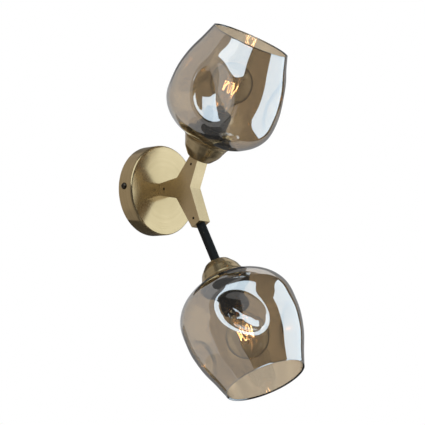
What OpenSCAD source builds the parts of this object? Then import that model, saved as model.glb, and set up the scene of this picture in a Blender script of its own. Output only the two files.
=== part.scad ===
// Two-lamp wall sconce: round canopy, three-way arm bracket, two dented glass shades on brass cups.
// X runs along the wall, -Y points out of the wall into the room, Z is up.
// The origin is the middle of the wall-screw pattern, on the wall's face.

/* [Canopy] */
// Outside diameter of the canopy
canopy_d = 100; // [90:1:120]
// How far the canopy stands out from the wall
canopy_depth = 20; // [18:0.5:28]
// Sheet thickness of the canopy
canopy_wall = 1; // [0.8:0.1:1.5]
// Radius of the canopy's front edge
canopy_edge_r = 2.5; // [1.5:0.1:4]

/* [Wall bracket] */
// Height of the bracket strip
strip_w = 20; // [16:1:24]
// Sheet thickness of the bracket
strip_t = 1.5; // [1:0.1:2]
// Distance between the two wall-screw slots, middle to middle
slot_spacing = 54; // [48:1:58]
// Width of a wall-screw slot
slot_w = 4.6; // [4:0.1:5.5]
// End-to-end length of a wall-screw slot
slot_length = 14; // [10:0.5:16]
// Width of the bent ears that take the side screws
ear_w = 14; // [12:1:18]
// How far the ears reach out from the wall
ear_reach = 14; // [12.5:0.5:15]
// Distance from the wall to the side screws
side_screw_out = 9; // [7:0.5:9.5]
// Width of the tab that carries the terminal block
tab_w = 26; // [25:1:32]
// How far the tab reaches below the strip
tab_drop = 21; // [20:0.5:24]

/* [Side screws] */
// Thread diameter of a side screw
side_screw_d = 4; // [3:0.1:5]
// Length of a side screw under its head
side_screw_length = 8; // [6:0.5:12]
// Diameter of a side screw's domed head
side_head_d = 7.5; // [7:0.1:9]
// Height of a side screw's domed head
side_head_h = 2.8; // [2:0.1:3.5]

/* [Arm bracket] */
// Distance from the wall to the middle of the three-way bracket
hub_reach = 54; // [52:1:64]
// Length of the upper arm from the middle of the bracket
upper_arm = 36; // [34:1:44]
// Length of the lower arm from the middle of the bracket
lower_arm = 48; // [40:1:60]
// Width of an arm at its end
arm_w = 13.4; // [13:0.1:16]
// Thickness of the bracket along the wall
arm_t = 16; // [15:0.5:20]
// Distance from the middle of the bracket to the front inner corner
notch_reach = 14.2; // [13:0.1:16]
// Distance from the middle of the bracket to the two rear inner corners
rear_notch_reach = 12.9; // [12:0.1:16]
// Radius of the inner corners
notch_r = 2; // [1:0.5:6]
// Angle between an outer arm and the vertical
arm_lean = 31; // [25:1:38]
// Bore that carries the leads through the bracket
lead_channel_d = 7.2; // [7:0.1:7.6]
// Depth of the seat that takes a tube
tube_seat = 14; // [12:0.5:16]

/* [Grub screws] */
// Diameter of a grub screw
grub_d = 3; // [2.5:0.1:4]
// Distance from an arm's end to its grub screw
grub_from_end = 7.5; // [6:0.5:9]
// How far a grub screw sits below the face
grub_sunk = 0.5; // [0.3:0.1:0.8]
// Width across the grub screw's hexagon socket
grub_key = 1.5; // [1.3:0.1:1.7]

/* [Tubes and nuts] */
// Outside diameter of the threaded tubes and the rod
tube_d = 10; // [9:0.1:11]
// Bore of the threaded tubes and the rod
tube_bore = 7.8; // [7.4:0.1:8.2]
// Length of rod that shows between the lower arm and its cup
rod_shown = 49.6; // [30:0.1:90]
// How far a tube reaches into its lamp holder
tube_in_holder = 10; // [9:0.5:11]
// Width across the flats of the tube nuts
nut_af = 14; // [13:0.5:17]
// Thickness of the nut in a cup
cup_nut_t = 3; // [2.5:0.5:4]
// Thickness of the nut in the canopy
canopy_nut_t = 4; // [3:0.5:5]
// Diameter of the washer in the canopy
washer_d = 18; // [16.5:0.5:22]
// Thickness of the washer in the canopy
washer_t = 0.8; // [0.5:0.1:1.5]
// How far the canopy's tube stands inside its nut
tube_past_nut = 1; // [0.5:0.5:1.5]

/* [Cup] */
// Diameter of the cup's rim
cup_rim_d = 54.4; // [54:0.1:57]
// Diameter of the cup's flat base
cup_base_d = 22.8; // [22.8:0.1:28]
// Height of the cup
cup_h = 23.2; // [22.5:0.1:25]
// Sheet thickness of the cup
cup_wall = 1; // [0.8:0.1:1.4]

/* [Glass shade] */
// Widest diameter of the shade
shade_d = 123.2; // [118:0.1:132]
// Diameter of the shade's mouth
shade_mouth_d = 85; // [80:0.1:94]
// Height of the shade, from its flat seat to its mouth
shade_h = 115.5; // [112:0.1:126]
// Height of the widest place above the seat
shade_widest_h = 44; // [42:0.1:50]
// Thickness of the glass
shade_wall = 2.4; // [2:0.1:3]
// Thickness of the glass at the seat
shade_seat_t = 3; // [2.5:0.1:3.5]
// Diameter of the flat seat
shade_seat_d = 50; // [48:0.5:52]
// Number of dents round the shade
dent_count = 3; // [2:1:4]
// Width of a dent, across its long way
dent_w = 42; // [36:0.5:52]
// Length of a dent, along its long way
dent_length = 62; // [54:0.5:70]
// Depth of a dent at its middle
dent_depth = 14; // [12:0.1:18]
// Height of a dent's middle above the seat
dent_h = 60; // [58:0.5:66]
// Slant of a dent's long way from the shade's axis
dent_slant = 37; // [0:1:60]
// Turn of the upper shade's first dent about the shade's axis
upper_dent_turn = 89; // [0:1:119]
// Turn of the lower shade's first dent about the shade's axis
lower_dent_turn = 17; // [0:1:119]

/* [Lamp holder] */
// Diameter over the holder's threaded skirt
holder_d = 29; // [28:0.5:30]
// Height of the thread on the skirt
holder_thread_h = 0.5; // [0.3:0.1:0.6]
// Pitch of the thread on the skirt
holder_pitch = 2; // [1.5:0.5:3]
// Wall of the skirt
holder_wall = 2.3; // [2:0.1:2.4]
// Height of the holder's base part
base_h = 18; // [17:0.5:19]
// Height of the neck where skirt and base join
base_neck_h = 6; // [5:0.5:7]
// Height of the holder's skirt
skirt_h = 35.5; // [34:0.5:37]
// Diameter of the hole in the skirt's open end
skirt_mouth_d = 18; // [17.6:0.1:20]
// Thickness of the lip at the skirt's open end
skirt_lip_t = 2; // [1.5:0.1:2.5]
// Diameter of the retaining ring's flange
ring_d = 51; // [48:0.5:54]
// Thickness of the retaining ring's flange
ring_t = 2.5; // [2:0.1:3.5]
// Diameter of the retaining ring's grip
ring_grip_d = 36; // [35:0.5:40]
// Height of the retaining ring's grip above its flange
ring_grip_h = 8; // [6:0.5:9]

/* [Bulb] */
// Diameter of the bulb
bulb_d = 45; // [40:0.5:47]
// Length of the bulb over all
bulb_length = 78; // [76:0.5:82]
// Thickness of the bulb's glass
bulb_wall = 0.8; // [0.6:0.1:1]
// Diameter of the bulb's screw cap
cap_d = 13.9; // [13.5:0.1:14]
// Length of the bulb's screw cap without its tip
cap_length = 23; // [22:0.5:24]
// Diameter of the cap's collar
collar_d = 16.6; // [16:0.1:17]
// Pitch of the bulb's thread
cap_pitch = 2.82; // [2.5:0.01:3]
// Diameter of the filament cage
cage_d = 15; // [12:0.5:16]
// Height of the filament cage
cage_h = 21; // [16:0.5:24]
// Number of hairpins in the filament
hairpins = 6; // [4:1:8]
// Diameter of the filament coil
filament_d = 0.7; // [0.6:0.1:1]

/* [Wiring] */
// Diameter of one insulated lead
lead_d = 2; // [1.8:0.1:2.2]
// Width of one pole of the terminal block
pole_w = 8; // [7.5:0.1:8.2]
// Height of the terminal block
block_h = 16; // [14:0.5:17]
// Depth of the terminal block
block_depth = 11; // [10:0.5:12]

/* [Hidden] */
$fn = 64;
// Overrun of every cut, and the clearances between pieces
over = 1;
slide_gap = 0.05;
seat_gap = 0.2;
loose_gap = 0.3;

canopy_r = canopy_d / 2;
tube_r = tube_d / 2;
bore_r = tube_bore / 2;
lead_r = lead_d / 2;
strip_half = canopy_r - canopy_wall - loose_gap;
cable_hole_d = 10;
block_poles = 3;
block_hole_d = 5;
block_hole_share = 0.42;
block_hole_out = block_depth * block_hole_share;
block_screw_d = 3.4;
block_screw_sunk = 1;
block_fixing_d = 3;
block_fixing_head_d = 4.6;
block_fixing_head_h = 1.2;
block_below = 3.5;
block_middle = strip_w / 2 + tab_drop - block_below - block_h / 2;
earth_screw_d = 4;
earth_screw_x = 12;
earth_head_d = 7;
earth_head_h = 2.2;
earth_tag_d = 8;
earth_tag_t = 0.8;
recess_w = 0.9;
recess_depth = 1.2;
recess_share = 0.55;
washer_seat = canopy_depth - canopy_wall;
nut_seat = washer_seat - washer_t;
tube_inner_end = nut_seat - canopy_nut_t - tube_past_nut;
tube_outer_end = canopy_depth + seat_gap + tube_seat - loose_gap;
rear_arm = hub_reach - canopy_depth - seat_gap;
upper_cup_at = upper_arm + seat_gap;
lower_cup_at = lower_arm + rod_shown;
lamps = ["upper", "lower"];
lamp_lean = [arm_lean, 180 - arm_lean];
lamp_cup_at = [upper_cup_at, lower_cup_at];
lamp_arm = [upper_arm, lower_arm];
lamp_turn = [upper_dent_turn, lower_dent_turn];

// Half profile of the cup: shares of the way from base radius to rim radius, and of the height
cup_shares = [[0, 0], [0.125, 0.026], [0.31, 0.174], [0.55, 0.39], [0.68, 0.61], [0.80, 0.80], [0.82, 0.86],
              [0.865, 0.885], [0.90, 0.925], [1, 1]];
// Half profile of the shade: shares from seat radius to widest radius, then from widest to mouth
shade_low_shares = [[0, 0], [0.168, 0.023], [0.292, 0.063], [0.444, 0.131], [0.682, 0.285],
                    [0.863, 0.477], [0.973, 0.708], [1, 1]];
shade_high_shares = [[0.95, 0.246], [0.70, 0.523], [0.28, 0.80], [0, 1]];
profile_steps = 4;
cup_inside = beside(cup_side(), cup_wall);
cup_rim = cup_inside[len(cup_inside) - 1];
// A dent leans with the glass, which draws in above its widest place
dent_face_r = meet(shade_side(), 1, dent_h);
dent_lean = atan2(meet(shade_side(), 1, shade_widest_h) - dent_face_r, dent_h - shade_widest_h);
// The tool that presses it is round across the dent, and bowed along it
dent_round_r = bow(dent_w, dent_depth - sag(dent_w, dent_face_r));
dent_bow_r = bow(dent_length, dent_depth - sag(dent_length, dent_face_r));

// Heights inside a lamp, from the cup's base; the glass lies on the cup's rim
seat_z = cup_rim[1] + loose_gap - meet(shade_side(), 0, cup_rim[0]);
base_z = cup_wall + cup_nut_t;
skirt_z = base_z + base_h;
skirt_top = skirt_z + skirt_h;
holder_r = holder_d / 2;
skirt_bore_r = holder_r - holder_wall;
base_collar_h = 8;
base_wall = 1.3;
core_z = skirt_z + base_neck_h;
core_plate_t = 3;
core_r = skirt_bore_r - slide_gap;
sleeve_wall = 0.6;
sleeve_clear = 0.4;
sleeve_bore_r = cap_d / 2 + sleeve_clear;
sleeve_r = sleeve_bore_r + sleeve_wall;
sleeve_h = 17;
sleeve_lift = 3;
core_bore_r = sleeve_r + slide_gap;
contact_rise = 3;
tip_z = core_z + core_plate_t + contact_rise;
tip_h = 1;
tip_r = 2.4;
tip_curve_r = 3;
insulator_h = 2.6;
insulator_r = 5.2;
cap_z = tip_z + tip_h + insulator_h;
cap_top = tip_z + cap_length + tip_h;
cap_wall = 0.4;
cap_thread_h = 0.5;
collar_h = 4;
bulb_r = bulb_d / 2;
bulb_top = tip_z + bulb_length;
bulb_mid = bulb_top - bulb_r;
neck_r = collar_d / 2 - cap_wall - slide_gap;
contact_w = 4;
contact_t = 0.5;
terminal_w = 5;
terminal_d = 6;
terminal_x = 6.3;
terminal_h = 4.5;
terminal_screw_d = 2.6;
ring_z = seat_z + shade_seat_t + loose_gap / 3;
ring_bore_r = holder_r + holder_thread_h + slide_gap;
ring_notches = 24;
ring_notch_d = 1.6;
shade_hole_r = ring_bore_r + loose_gap;
stem_r = 2.3;
stem_base_r = 6;
stem_flare_share = 1.5;
stem_base_h = 3;
hook_disc_r = 3;
hook_disc_h = 1;
stem_foot = cap_top - collar_h / 2;
cage_up_share = 0.28;
cage_top = bulb_mid + cage_h * cage_up_share;
cage_bottom = cage_top - cage_h;
cage_turn = 330;
stem_top = cage_top + hook_disc_h;
support_r = 0.25;
lead_x = 1.2;
lead_z = 1.3;
lead_bend = 4;
lead_spread = 0.6;
lead_turn = 1.6;
hollow_share = 1.3;
lead_sides = 8;
wire_sides = 6;

// Places: out() turns +Z to point out of the wall, arm_frame() puts +Z along a lamp's arm
module out() rotate([90, 0, 0]) children();
module hub() translate([0, -hub_reach, 0]) children();
module arm_frame(lean) hub() rotate([lean, 0, 0]) children();
module lamp_frame(i) arm_frame(lamp_lean[i]) translate([0, 0, lamp_cup_at[i]]) children();

// A smooth curve through rows of points, with steps points for each stretch
function blend(a, b, c, d, t) =
    b + (c - a) * t / 2 + (2 * a - 5 * b + 4 * c - d) * t * t / 2 + (3 * b - a - 3 * c + d) * t * t * t / 2;
function smooth(p, steps) = [
    for (i = [0 : len(p) - 2], k = [0 : steps - 1])
        blend(p[max(i - 1, 0)], p[i], p[i + 1], p[min(i + 2, len(p) - 1)], k / steps),
    p[len(p) - 1]];
function arc(centre, r, from, to, steps) = [
    for (k = [0 : steps]) let (a = from + (to - from) * k / steps) centre + r * [cos(a), sin(a)]];
// Each point moved by d to the left of its path, as a wall's other side
function beside(p, d) = [
    for (i = [0 : len(p) - 1])
        let (along = p[min(i + 1, len(p) - 1)] - p[max(i - 1, 0)])
            p[i] + d * [-along[1], along[0]] / norm(along)];
// Where a row of points crosses the value v of coordinate k: its other coordinate there
function meet(p, k, v) = [for (i = [0 : len(p) - 2]) if (p[i][k] <= v && v < p[i + 1][k])
    p[i][1 - k] + (p[i + 1][1 - k] - p[i][1 - k]) * (v - p[i][k]) / (p[i + 1][k] - p[i][k])][0];
function reversed(p) = [for (i = [len(p) - 1 : -1 : 0]) p[i]];
// How far a curve of radius r falls back over the width w, and the radius that falls back by h
function sag(w, r) = r - sqrt(r * r - w * w / 4);
function bow(w, h) = (w * w / 4 + h * h) / (2 * h);

module pipe(r, bore, h) difference() {
    cylinder(r = r, h = h);
    translate([0, 0, -over]) cylinder(r = bore, h = h + 2 * over);
}
// A round wire swept along a row of points, with square ends
function unit(v) = v / norm(v);
function heading(p, i) = i == 0 ? unit(p[1] - p[0]) : i == len(p) - 1 ? unit(p[i] - p[i - 1])
    : unit(unit(p[i + 1] - p[i]) + unit(p[i] - p[i - 1]));
function square_to(t, u) = unit(u - t * (u * t));
function carried(p, i, u) = i == len(p) ? [] :
    let (v = square_to(heading(p, i), u)) concat([v], carried(p, i + 1, v));
module wire(points, r, sides) {
    first = heading(points, 0);
    across = carried(points, 0, abs(first[0]) < abs(first[1]) ? [1, 0, 0] : [0, 1, 0]);
    rings = [for (i = [0 : len(points) - 1], k = [0 : sides - 1])
        let (u = across[i], v = cross(heading(points, i), u), a = 360 * k / sides)
            points[i] + r * (cos(a) * u + sin(a) * v)];
    last = (len(points) - 1) * sides;
    sides_faces = [for (i = [0 : len(points) - 2], k = [0 : sides - 1])
        let (here = i * sides, beyond = here + sides, next = (k + 1) % sides)
            [here + k, beyond + k, beyond + next, here + next]];
    polyhedron(rings, concat(
        [[for (k = [0 : sides - 1]) k]], [[for (k = [sides - 1 : -1 : 0]) last + k]],
        [for (f = sides_faces) [f[0], f[1], f[2]]], [for (f = sides_faces) [f[0], f[2], f[3]]]));
}
module lead(points) wire(smooth(points, profile_steps), lead_r, lead_sides);
module cross_recess(w, length, depth) for (turn = [0, 90])
    rotate([0, 0, turn]) translate([-length / 2, -w / 2, -depth]) cube([length, w, depth + over]);

// Wall bracket: a strip with two bent ears and a tab for the terminal block
module slot() {
    straight = slot_length - slot_w;
    translate([-straight / 2, -slot_w / 2, 0]) cube([straight, slot_w, strip_t + 2 * over]);
    for (side = [-1, 1]) translate([side * straight / 2, 0, 0])
        cylinder(d = slot_w, h = strip_t + 2 * over);
}
module wall_bracket() color("silver") {
    difference() {
        union() {
            out() translate([-strip_half, -strip_w / 2, 0]) cube([2 * strip_half, strip_w, strip_t]);
            out() translate([-tab_w / 2, -strip_w / 2 - tab_drop, 0])
                cube([tab_w, tab_drop + over, strip_t]);
            for (side = [0, 1]) mirror([side, 0, 0])
                out() translate([strip_half - strip_t, -ear_w / 2, 0]) cube([strip_t, ear_w, ear_reach]);
        }
        for (side = [-1, 1]) out() translate([side * slot_spacing / 2, 0, -over]) slot();
        out() translate([0, 0, -over]) cylinder(d = cable_hole_d, h = strip_t + 2 * over);
        out() translate([-pole_w / 2, -block_middle, -over])
            cylinder(d = block_fixing_d, h = strip_t + 2 * over);
        out() translate([earth_screw_x, 0, -over]) cylinder(d = earth_screw_d, h = strip_t + 2 * over);
        translate([-canopy_r, -side_screw_out, 0]) rotate([0, 90, 0])
            cylinder(d = side_screw_d, h = canopy_d);
        // The ears' corners are cut back to clear the canopy's round wall
        difference() {
            out() translate([-canopy_r, -canopy_r, -over])
                cube([canopy_d, canopy_d, ear_reach + 2 * over]);
            out() translate([0, 0, -2 * over])
                cylinder(r = strip_half, h = ear_reach + 4 * over, $fn = 128);
        }
    }
}
// Canopy: a spun dish, open at the wall
module canopy() color("darkkhaki") {
    edge = [canopy_r - canopy_edge_r, canopy_depth - canopy_edge_r];
    outside = concat([[0, canopy_depth]],
                     reversed(arc(edge, canopy_edge_r, 0, 90, 6)),
                     [[canopy_r, 0], [canopy_r - canopy_wall, 0]],
                     arc(edge, canopy_edge_r - canopy_wall, 0, 90, 6),
                     [[0, canopy_depth - canopy_wall]]);
    difference() {
        out() rotate_extrude($fn = 128) polygon(outside);
        out() cylinder(r = tube_r + slide_gap, h = canopy_depth + over);
        translate([-canopy_r - over, -side_screw_out, 0]) rotate([0, 90, 0])
            cylinder(d = side_screw_d + 2 * slide_gap, h = canopy_d + 2 * over);
    }
}
// Domed head with a cross recess, on a plain shank, pointing down -Z
module domed_screw(shank_d, length, head_d, head_h) {
    dome_r = (head_d * head_d / 4 + head_h * head_h) / (2 * head_h);
    translate([0, 0, -length]) cylinder(d = shank_d, h = length);
    difference() {
        intersection() {
            cylinder(d = head_d, h = head_h);
            translate([0, 0, head_h - dome_r]) sphere(r = dome_r);
        }
        translate([0, 0, head_h]) cross_recess(recess_w, head_d * recess_share, recess_depth);
    }
}
module canopy_screws() color("saddlebrown") for (side = [-1, 1])
    translate([side * canopy_r, -side_screw_out, 0]) rotate([0, side * 90, 0])
        domed_screw(side_screw_d - 2 * slide_gap, side_screw_length, side_head_d, side_head_h);

// Tube, nut and washer that hold the arm bracket to the canopy
module canopy_tube() color("silver") out() translate([0, 0, tube_inner_end])
    pipe(tube_r, bore_r, tube_outer_end - tube_inner_end);
module tube_nut(h) difference() {
    cylinder(d = nut_af / cos(30), h = h, $fn = 6);
    translate([0, 0, -over]) cylinder(r = tube_r + slide_gap, h = h + 2 * over);
}
module canopy_nut() color("silver") out() translate([0, 0, nut_seat - canopy_nut_t]) tube_nut(canopy_nut_t);
module canopy_washer() color("gainsboro") out() translate([0, 0, nut_seat])
    pipe(washer_d / 2, tube_r + slide_gap, washer_t);

// Three-pole terminal block on the bracket's tab, with its screws
module at_poles() for (pole = [-1, 0, 1]) translate([pole * pole_w, 0, 0]) children();
module block_frame() translate([0, -strip_t, -block_middle]) children();
module terminal_block() color("ivory") block_frame() {
    block_w = block_poles * pole_w;
    difference() {
        translate([-block_w / 2, -block_depth, -block_h / 2]) cube([block_w, block_depth, block_h]);
        at_poles() translate([0, -block_hole_out, -block_h / 2 - over])
            cylinder(d = block_hole_d, h = block_h + 2 * over, $fn = 32);
        at_poles() for (side = [-1, 1]) translate([0, -block_depth - over, side * block_h / 4])
            rotate([-90, 0, 0])
                cylinder(d = block_screw_d, h = block_depth - block_hole_out + over, $fn = 32);
        for (side = [-1, 1]) translate([side * pole_w / 2, -block_depth - over, 0]) rotate([-90, 0, 0])
            cylinder(d = block_fixing_d + slide_gap, h = block_depth + 2 * over, $fn = 32);
    }
}
module terminal_screws() color("gold") block_frame() {
    screw_length = block_depth - block_screw_sunk - block_hole_out - lead_d - slide_gap;
    at_poles() for (side = [-1, 1]) translate([0, block_screw_sunk - block_depth, side * block_h / 4])
        rotate([90, 0, 0]) difference() {
            translate([0, 0, -screw_length])
                cylinder(d = block_screw_d - 2 * slide_gap, h = screw_length, $fn = 32);
            translate([-block_screw_d, -recess_w / 2, -recess_depth])
                cube([2 * block_screw_d, recess_w, recess_depth + over]);
        }
}
// One screw holds the block to the tab, between two poles
module block_fixing_screw() color("silver") block_frame() translate([-pole_w / 2, -block_depth, 0])
    rotate([90, 0, 0]) domed_screw(block_fixing_d - 2 * slide_gap, block_depth + strip_t,
                                   block_fixing_head_d, block_fixing_head_h);
module earth_screw() color("gold") translate([earth_screw_x, -strip_t, 0]) rotate([90, 0, 0]) {
    cylinder(d = earth_tag_d, h = earth_tag_t);
    translate([0, 0, earth_tag_t])
        domed_screw(earth_screw_d - 2 * slide_gap, earth_tag_t + strip_t, earth_head_d, earth_head_h);
}
// Leads from the block to the end of the tube, and the short earth lead
module canopy_leads() color("brown") {
    hole_out = strip_t + block_hole_out;
    block_top = block_h / 2 - block_middle;
    screw_z = block_h / 4 - block_middle;
    tag_edge = earth_screw_x - earth_tag_d / 2;
    for (pole = [-1, 1], row = [-1, 1]) {
        x = pole * pole_w;
        y = row * (lead_r + slide_gap) - hole_out;
        lead([[pole * lead_x, -tube_outer_end, row * lead_z],
              [pole * lead_x, -(tube_outer_end + tube_inner_end) / 2, row * lead_z],
              [pole * lead_x, -tube_inner_end - lead_bend, row * lead_z],
              [pole * (lead_x + lead_spread), -tube_inner_end, row * lead_z],
              [x - pole * lead_turn, y - lead_turn / 2, row * lead_z - lead_turn],
              [x, y, block_top + lead_bend],
              [x, y, block_top],
              [x, y, screw_z]]);
    }
    lead([[0, -hole_out, screw_z],
          [0, -hole_out, block_top],
          [tag_edge / 4, lead_r - hole_out, block_top + lead_bend],
          [tag_edge / 2, -strip_t - lead_d, block_top / 3],
          [tag_edge - lead_r - slide_gap, -strip_t - lead_r - slide_gap, 0]]);
}

// Three-way arm bracket: one flat block with an arm to the canopy and one to each lamp
module bracket_outline() {
    arms = [[90 - arm_lean, upper_arm], [180, rear_arm], [arm_lean - 90, lower_arm]];
    // Inner corners lie half-way between the arms: above, below and in front
    half_way = (arms[0][0] + 180) / 2;
    corners = [for (c = [[half_way, rear_notch_reach], [-half_way, rear_notch_reach], [0, notch_reach]])
        c[1] * [cos(c[0]), sin(c[0])]];
    function end_corner(i, side) = let (d = [cos(arms[i][0]), sin(arms[i][0])])
        arms[i][1] * d + side * arm_w / 2 * [-d[1], d[0]];
    // A round inner corner between the point before and the point after
    function inner(before, corner, after) =
        let (u = (before - corner) / norm(before - corner),
             v = (after - corner) / norm(after - corner),
             half = acos(u * v) / 2,
             m = (u + v) / norm(u + v),
             centre = corner + m * notch_r / sin(half),
             a0 = atan2(-m[1], -m[0]),
             sweep = 90 - half)
            arc(centre, notch_r, a0 + sweep, a0 - sweep, 6);
    polygon([for (i = [0 : 2]) each concat(
        [end_corner(i, -1), end_corner(i, 1)],
        inner(end_corner(i, 1), corners[i], end_corner((i + 1) % 3, -1)))]);
}
module at_arm_ends() {
    arm_frame(lamp_lean[0]) translate([0, 0, upper_arm]) children();
    arm_frame(lamp_lean[1]) translate([0, 0, lower_arm]) children();
    arm_frame(-90) translate([0, 0, rear_arm]) children();
}
module arm_bracket() color("darkkhaki") difference() {
    hub() rotate([90, 0, -90]) linear_extrude(height = arm_t, center = true) bracket_outline();
    at_arm_ends() translate([0, 0, -tube_seat]) cylinder(r = tube_r + slide_gap, h = tube_seat + over);
    // The three drillings meet in a round hollow in the middle
    for (arm = [[lamp_lean[0], upper_arm], [lamp_lean[1], lower_arm], [-90, rear_arm]])
        arm_frame(arm[0]) cylinder(d = lead_channel_d, h = arm[1] - tube_seat + over);
    hub() sphere(d = lead_channel_d * hollow_share);
    at_arm_ends() translate([-arm_t / 2 - over, 0, -grub_from_end]) rotate([0, 90, 0])
        cylinder(d = grub_d, h = arm_t / 2 + over, $fn = 32);
}
module grub_screws() color("dimgray") at_arm_ends()
    translate([-arm_t / 2 + grub_sunk, 0, -grub_from_end]) rotate([0, 90, 0]) difference() {
        cylinder(d = grub_d - 2 * slide_gap, h = arm_t / 2 - grub_sunk - tube_r - slide_gap / 2, $fn = 32);
        translate([0, 0, -over]) cylinder(d = grub_key / cos(30), h = recess_depth + over, $fn = 6);
    }
// Leads inside the bracket: a pair turns up and a pair turns down
module bracket_leads() color("brown") for (i = [0, 1], x = [-lead_x, lead_x]) {
    row = 1 - 2 * i;
    dir = [0, -sin(arm_lean), row * cos(arm_lean)];
    middle = [x, -hub_reach, 0];
    lead([[x, -tube_outer_end, row * lead_z],
          [x, -tube_outer_end - lead_bend, row * lead_z],
          middle + [0, lead_bend, row * lead_z],
          middle + dir * (lead_bend + lead_z),
          middle + dir * (lamp_arm[i] - tube_seat + loose_gap - lead_bend),
          middle + dir * (lamp_arm[i] - tube_seat + loose_gap)]);
}
module lamp_tube(i) {
    start = loose_gap - tube_seat - lamp_cup_at[i] + lamp_arm[i];
    lamp_frame(i) translate([0, 0, start]) pipe(tube_r, bore_r, base_z + tube_in_holder - start);
}
module upper_tube() color("silver") lamp_tube(0);
module lower_rod() color("#1c1c1c") lamp_tube(1);

// Cup: a spun bowl with a flared lip that the glass sits on
function cup_side() = smooth([for (s = cup_shares)
    [cup_base_d / 2 + (cup_rim_d - cup_base_d) / 2 * s[0], cup_h * s[1]]], profile_steps);
module cup() color("darkkhaki") difference() {
    side = cup_side();
    rotate_extrude() polygon(concat([[0, 0]], side, reversed(cup_inside), [[0, cup_wall]]));
    translate([0, 0, -over]) cylinder(r = tube_r + slide_gap, h = cup_wall + 2 * over);
}
module cup_nut() color("silver") translate([0, 0, cup_wall]) tube_nut(cup_nut_t);

// Lamp holder: base, threaded skirt, core with sleeve, contact and terminals
module holder_base() color("#202020") {
    neck_r_out = skirt_bore_r - slide_gap;
    difference() {
        translate([0, 0, base_z]) union() {
            cylinder(r = holder_r - holder_thread_h, h = base_h);
            cylinder(r = neck_r_out, h = base_h + base_neck_h);
        }
        translate([0, 0, base_z + base_collar_h])
            cylinder(r = neck_r_out - base_wall, h = base_h + base_neck_h);
        translate([0, 0, base_z - over]) cylinder(r = tube_r + slide_gap, h = base_collar_h + 2 * over);
    }
}
module holder_skirt() color("#202020") {
    ridges = floor((skirt_h - 2 * holder_pitch) / holder_pitch);
    outside = [for (k = [0 : ridges - 1], step = [0, 1])
        [holder_r + step * holder_thread_h, skirt_z + holder_pitch * (0.5 + k + step / 2)]];
    rotate_extrude() polygon(concat(
        [[skirt_bore_r, skirt_z], [holder_r, skirt_z]], outside,
        [[holder_r, skirt_top - holder_pitch], [holder_r, skirt_top - skirt_lip_t / 2],
         [holder_r - skirt_lip_t / 2, skirt_top], [skirt_mouth_d / 2, skirt_top],
         [skirt_mouth_d / 2, skirt_top - skirt_lip_t], [skirt_bore_r, skirt_top - skirt_lip_t]]));
}
module holder_core() color("white") difference() {
    translate([0, 0, core_z]) cylinder(r = core_r, h = skirt_top - skirt_lip_t - core_z);
    translate([0, 0, core_z + core_plate_t]) cylinder(r = core_bore_r, h = skirt_top);
    for (side = [-1, 1]) translate([side * terminal_x, 0, core_z - over])
        cylinder(d = terminal_screw_d + 2 * slide_gap, h = core_plate_t + 2 * over, $fn = 32);
}
module screw_sleeve() color("gold") translate([0, 0, core_z + core_plate_t + sleeve_lift])
    pipe(sleeve_r, sleeve_bore_r, sleeve_h);
module contact() color("gold") translate([0, 0, core_z + core_plate_t]) {
    rise = contact_rise - slide_gap;
    rotate([90, 0, 0]) linear_extrude(height = contact_w, center = true)
        polygon([[-sleeve_bore_r, 0], [tip_r, 0], [tip_r, contact_t], [-sleeve_bore_r / 2, contact_t],
                 [tip_r, rise - contact_t], [tip_r, rise], [0, rise], [-sleeve_bore_r, contact_t]]);
}
module terminals() color("gold") for (side = [-1, 1]) translate([side * terminal_x, 0, core_z]) {
    difference() {
        translate([-terminal_w / 2, -terminal_d / 2, -terminal_h])
            cube([terminal_w, terminal_d, terminal_h]);
        translate([0, 0, -terminal_h - over]) cylinder(r = lead_r + slide_gap, h = terminal_h, $fn = 32);
    }
    cylinder(d = terminal_screw_d, h = core_plate_t, $fn = 32);
}
module retaining_ring() color("#202020") translate([0, 0, ring_z]) difference() {
    union() {
        cylinder(d = ring_d, h = ring_t);
        cylinder(d = ring_grip_d, h = ring_t + ring_grip_h);
    }
    translate([0, 0, -over]) cylinder(r = ring_bore_r, h = ring_t + ring_grip_h + 2 * over);
    for (k = [0 : ring_notches - 1]) rotate([0, 0, 360 * k / ring_notches])
        translate([ring_grip_d / 2, 0, ring_t])
            cylinder(d = ring_notch_d, h = ring_grip_h + over, $fn = 16);
}
module lamp_leads(i) color("brown") {
    start = loose_gap - tube_seat - lamp_cup_at[i] + lamp_arm[i];
    tube_end = base_z + tube_in_holder;
    terminal_end = core_z - terminal_h;
    for (side = [-1, 1])
        lead([[side * lead_x, 0, start],
              [side * lead_x, 0, (start + tube_end) / 2],
              [side * lead_x, 0, tube_end - lead_bend],
              [side * (lead_x + lead_spread), 0, tube_end],
              [side * (terminal_x - lead_spread), 0, terminal_end - lead_d],
              [side * terminal_x, 0, terminal_end],
              [side * terminal_x, 0, core_z - over]]);
}

// Glass shade: a blown bowl, wide below and drawn in at the mouth, with dents pressed into its side
function shade_side() =
    let (r0 = shade_seat_d / 2, r1 = shade_d / 2, r2 = shade_mouth_d / 2,
         low_h = shade_widest_h, high_h = shade_h - shade_widest_h)
        smooth(concat([for (s = shade_low_shares) [r0 + (r1 - r0) * s[0], low_h * s[1]]],
                      [for (s = shade_high_shares) [r2 + (r1 - r2) * s[0], low_h + high_h * s[1]]]),
               profile_steps);
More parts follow.
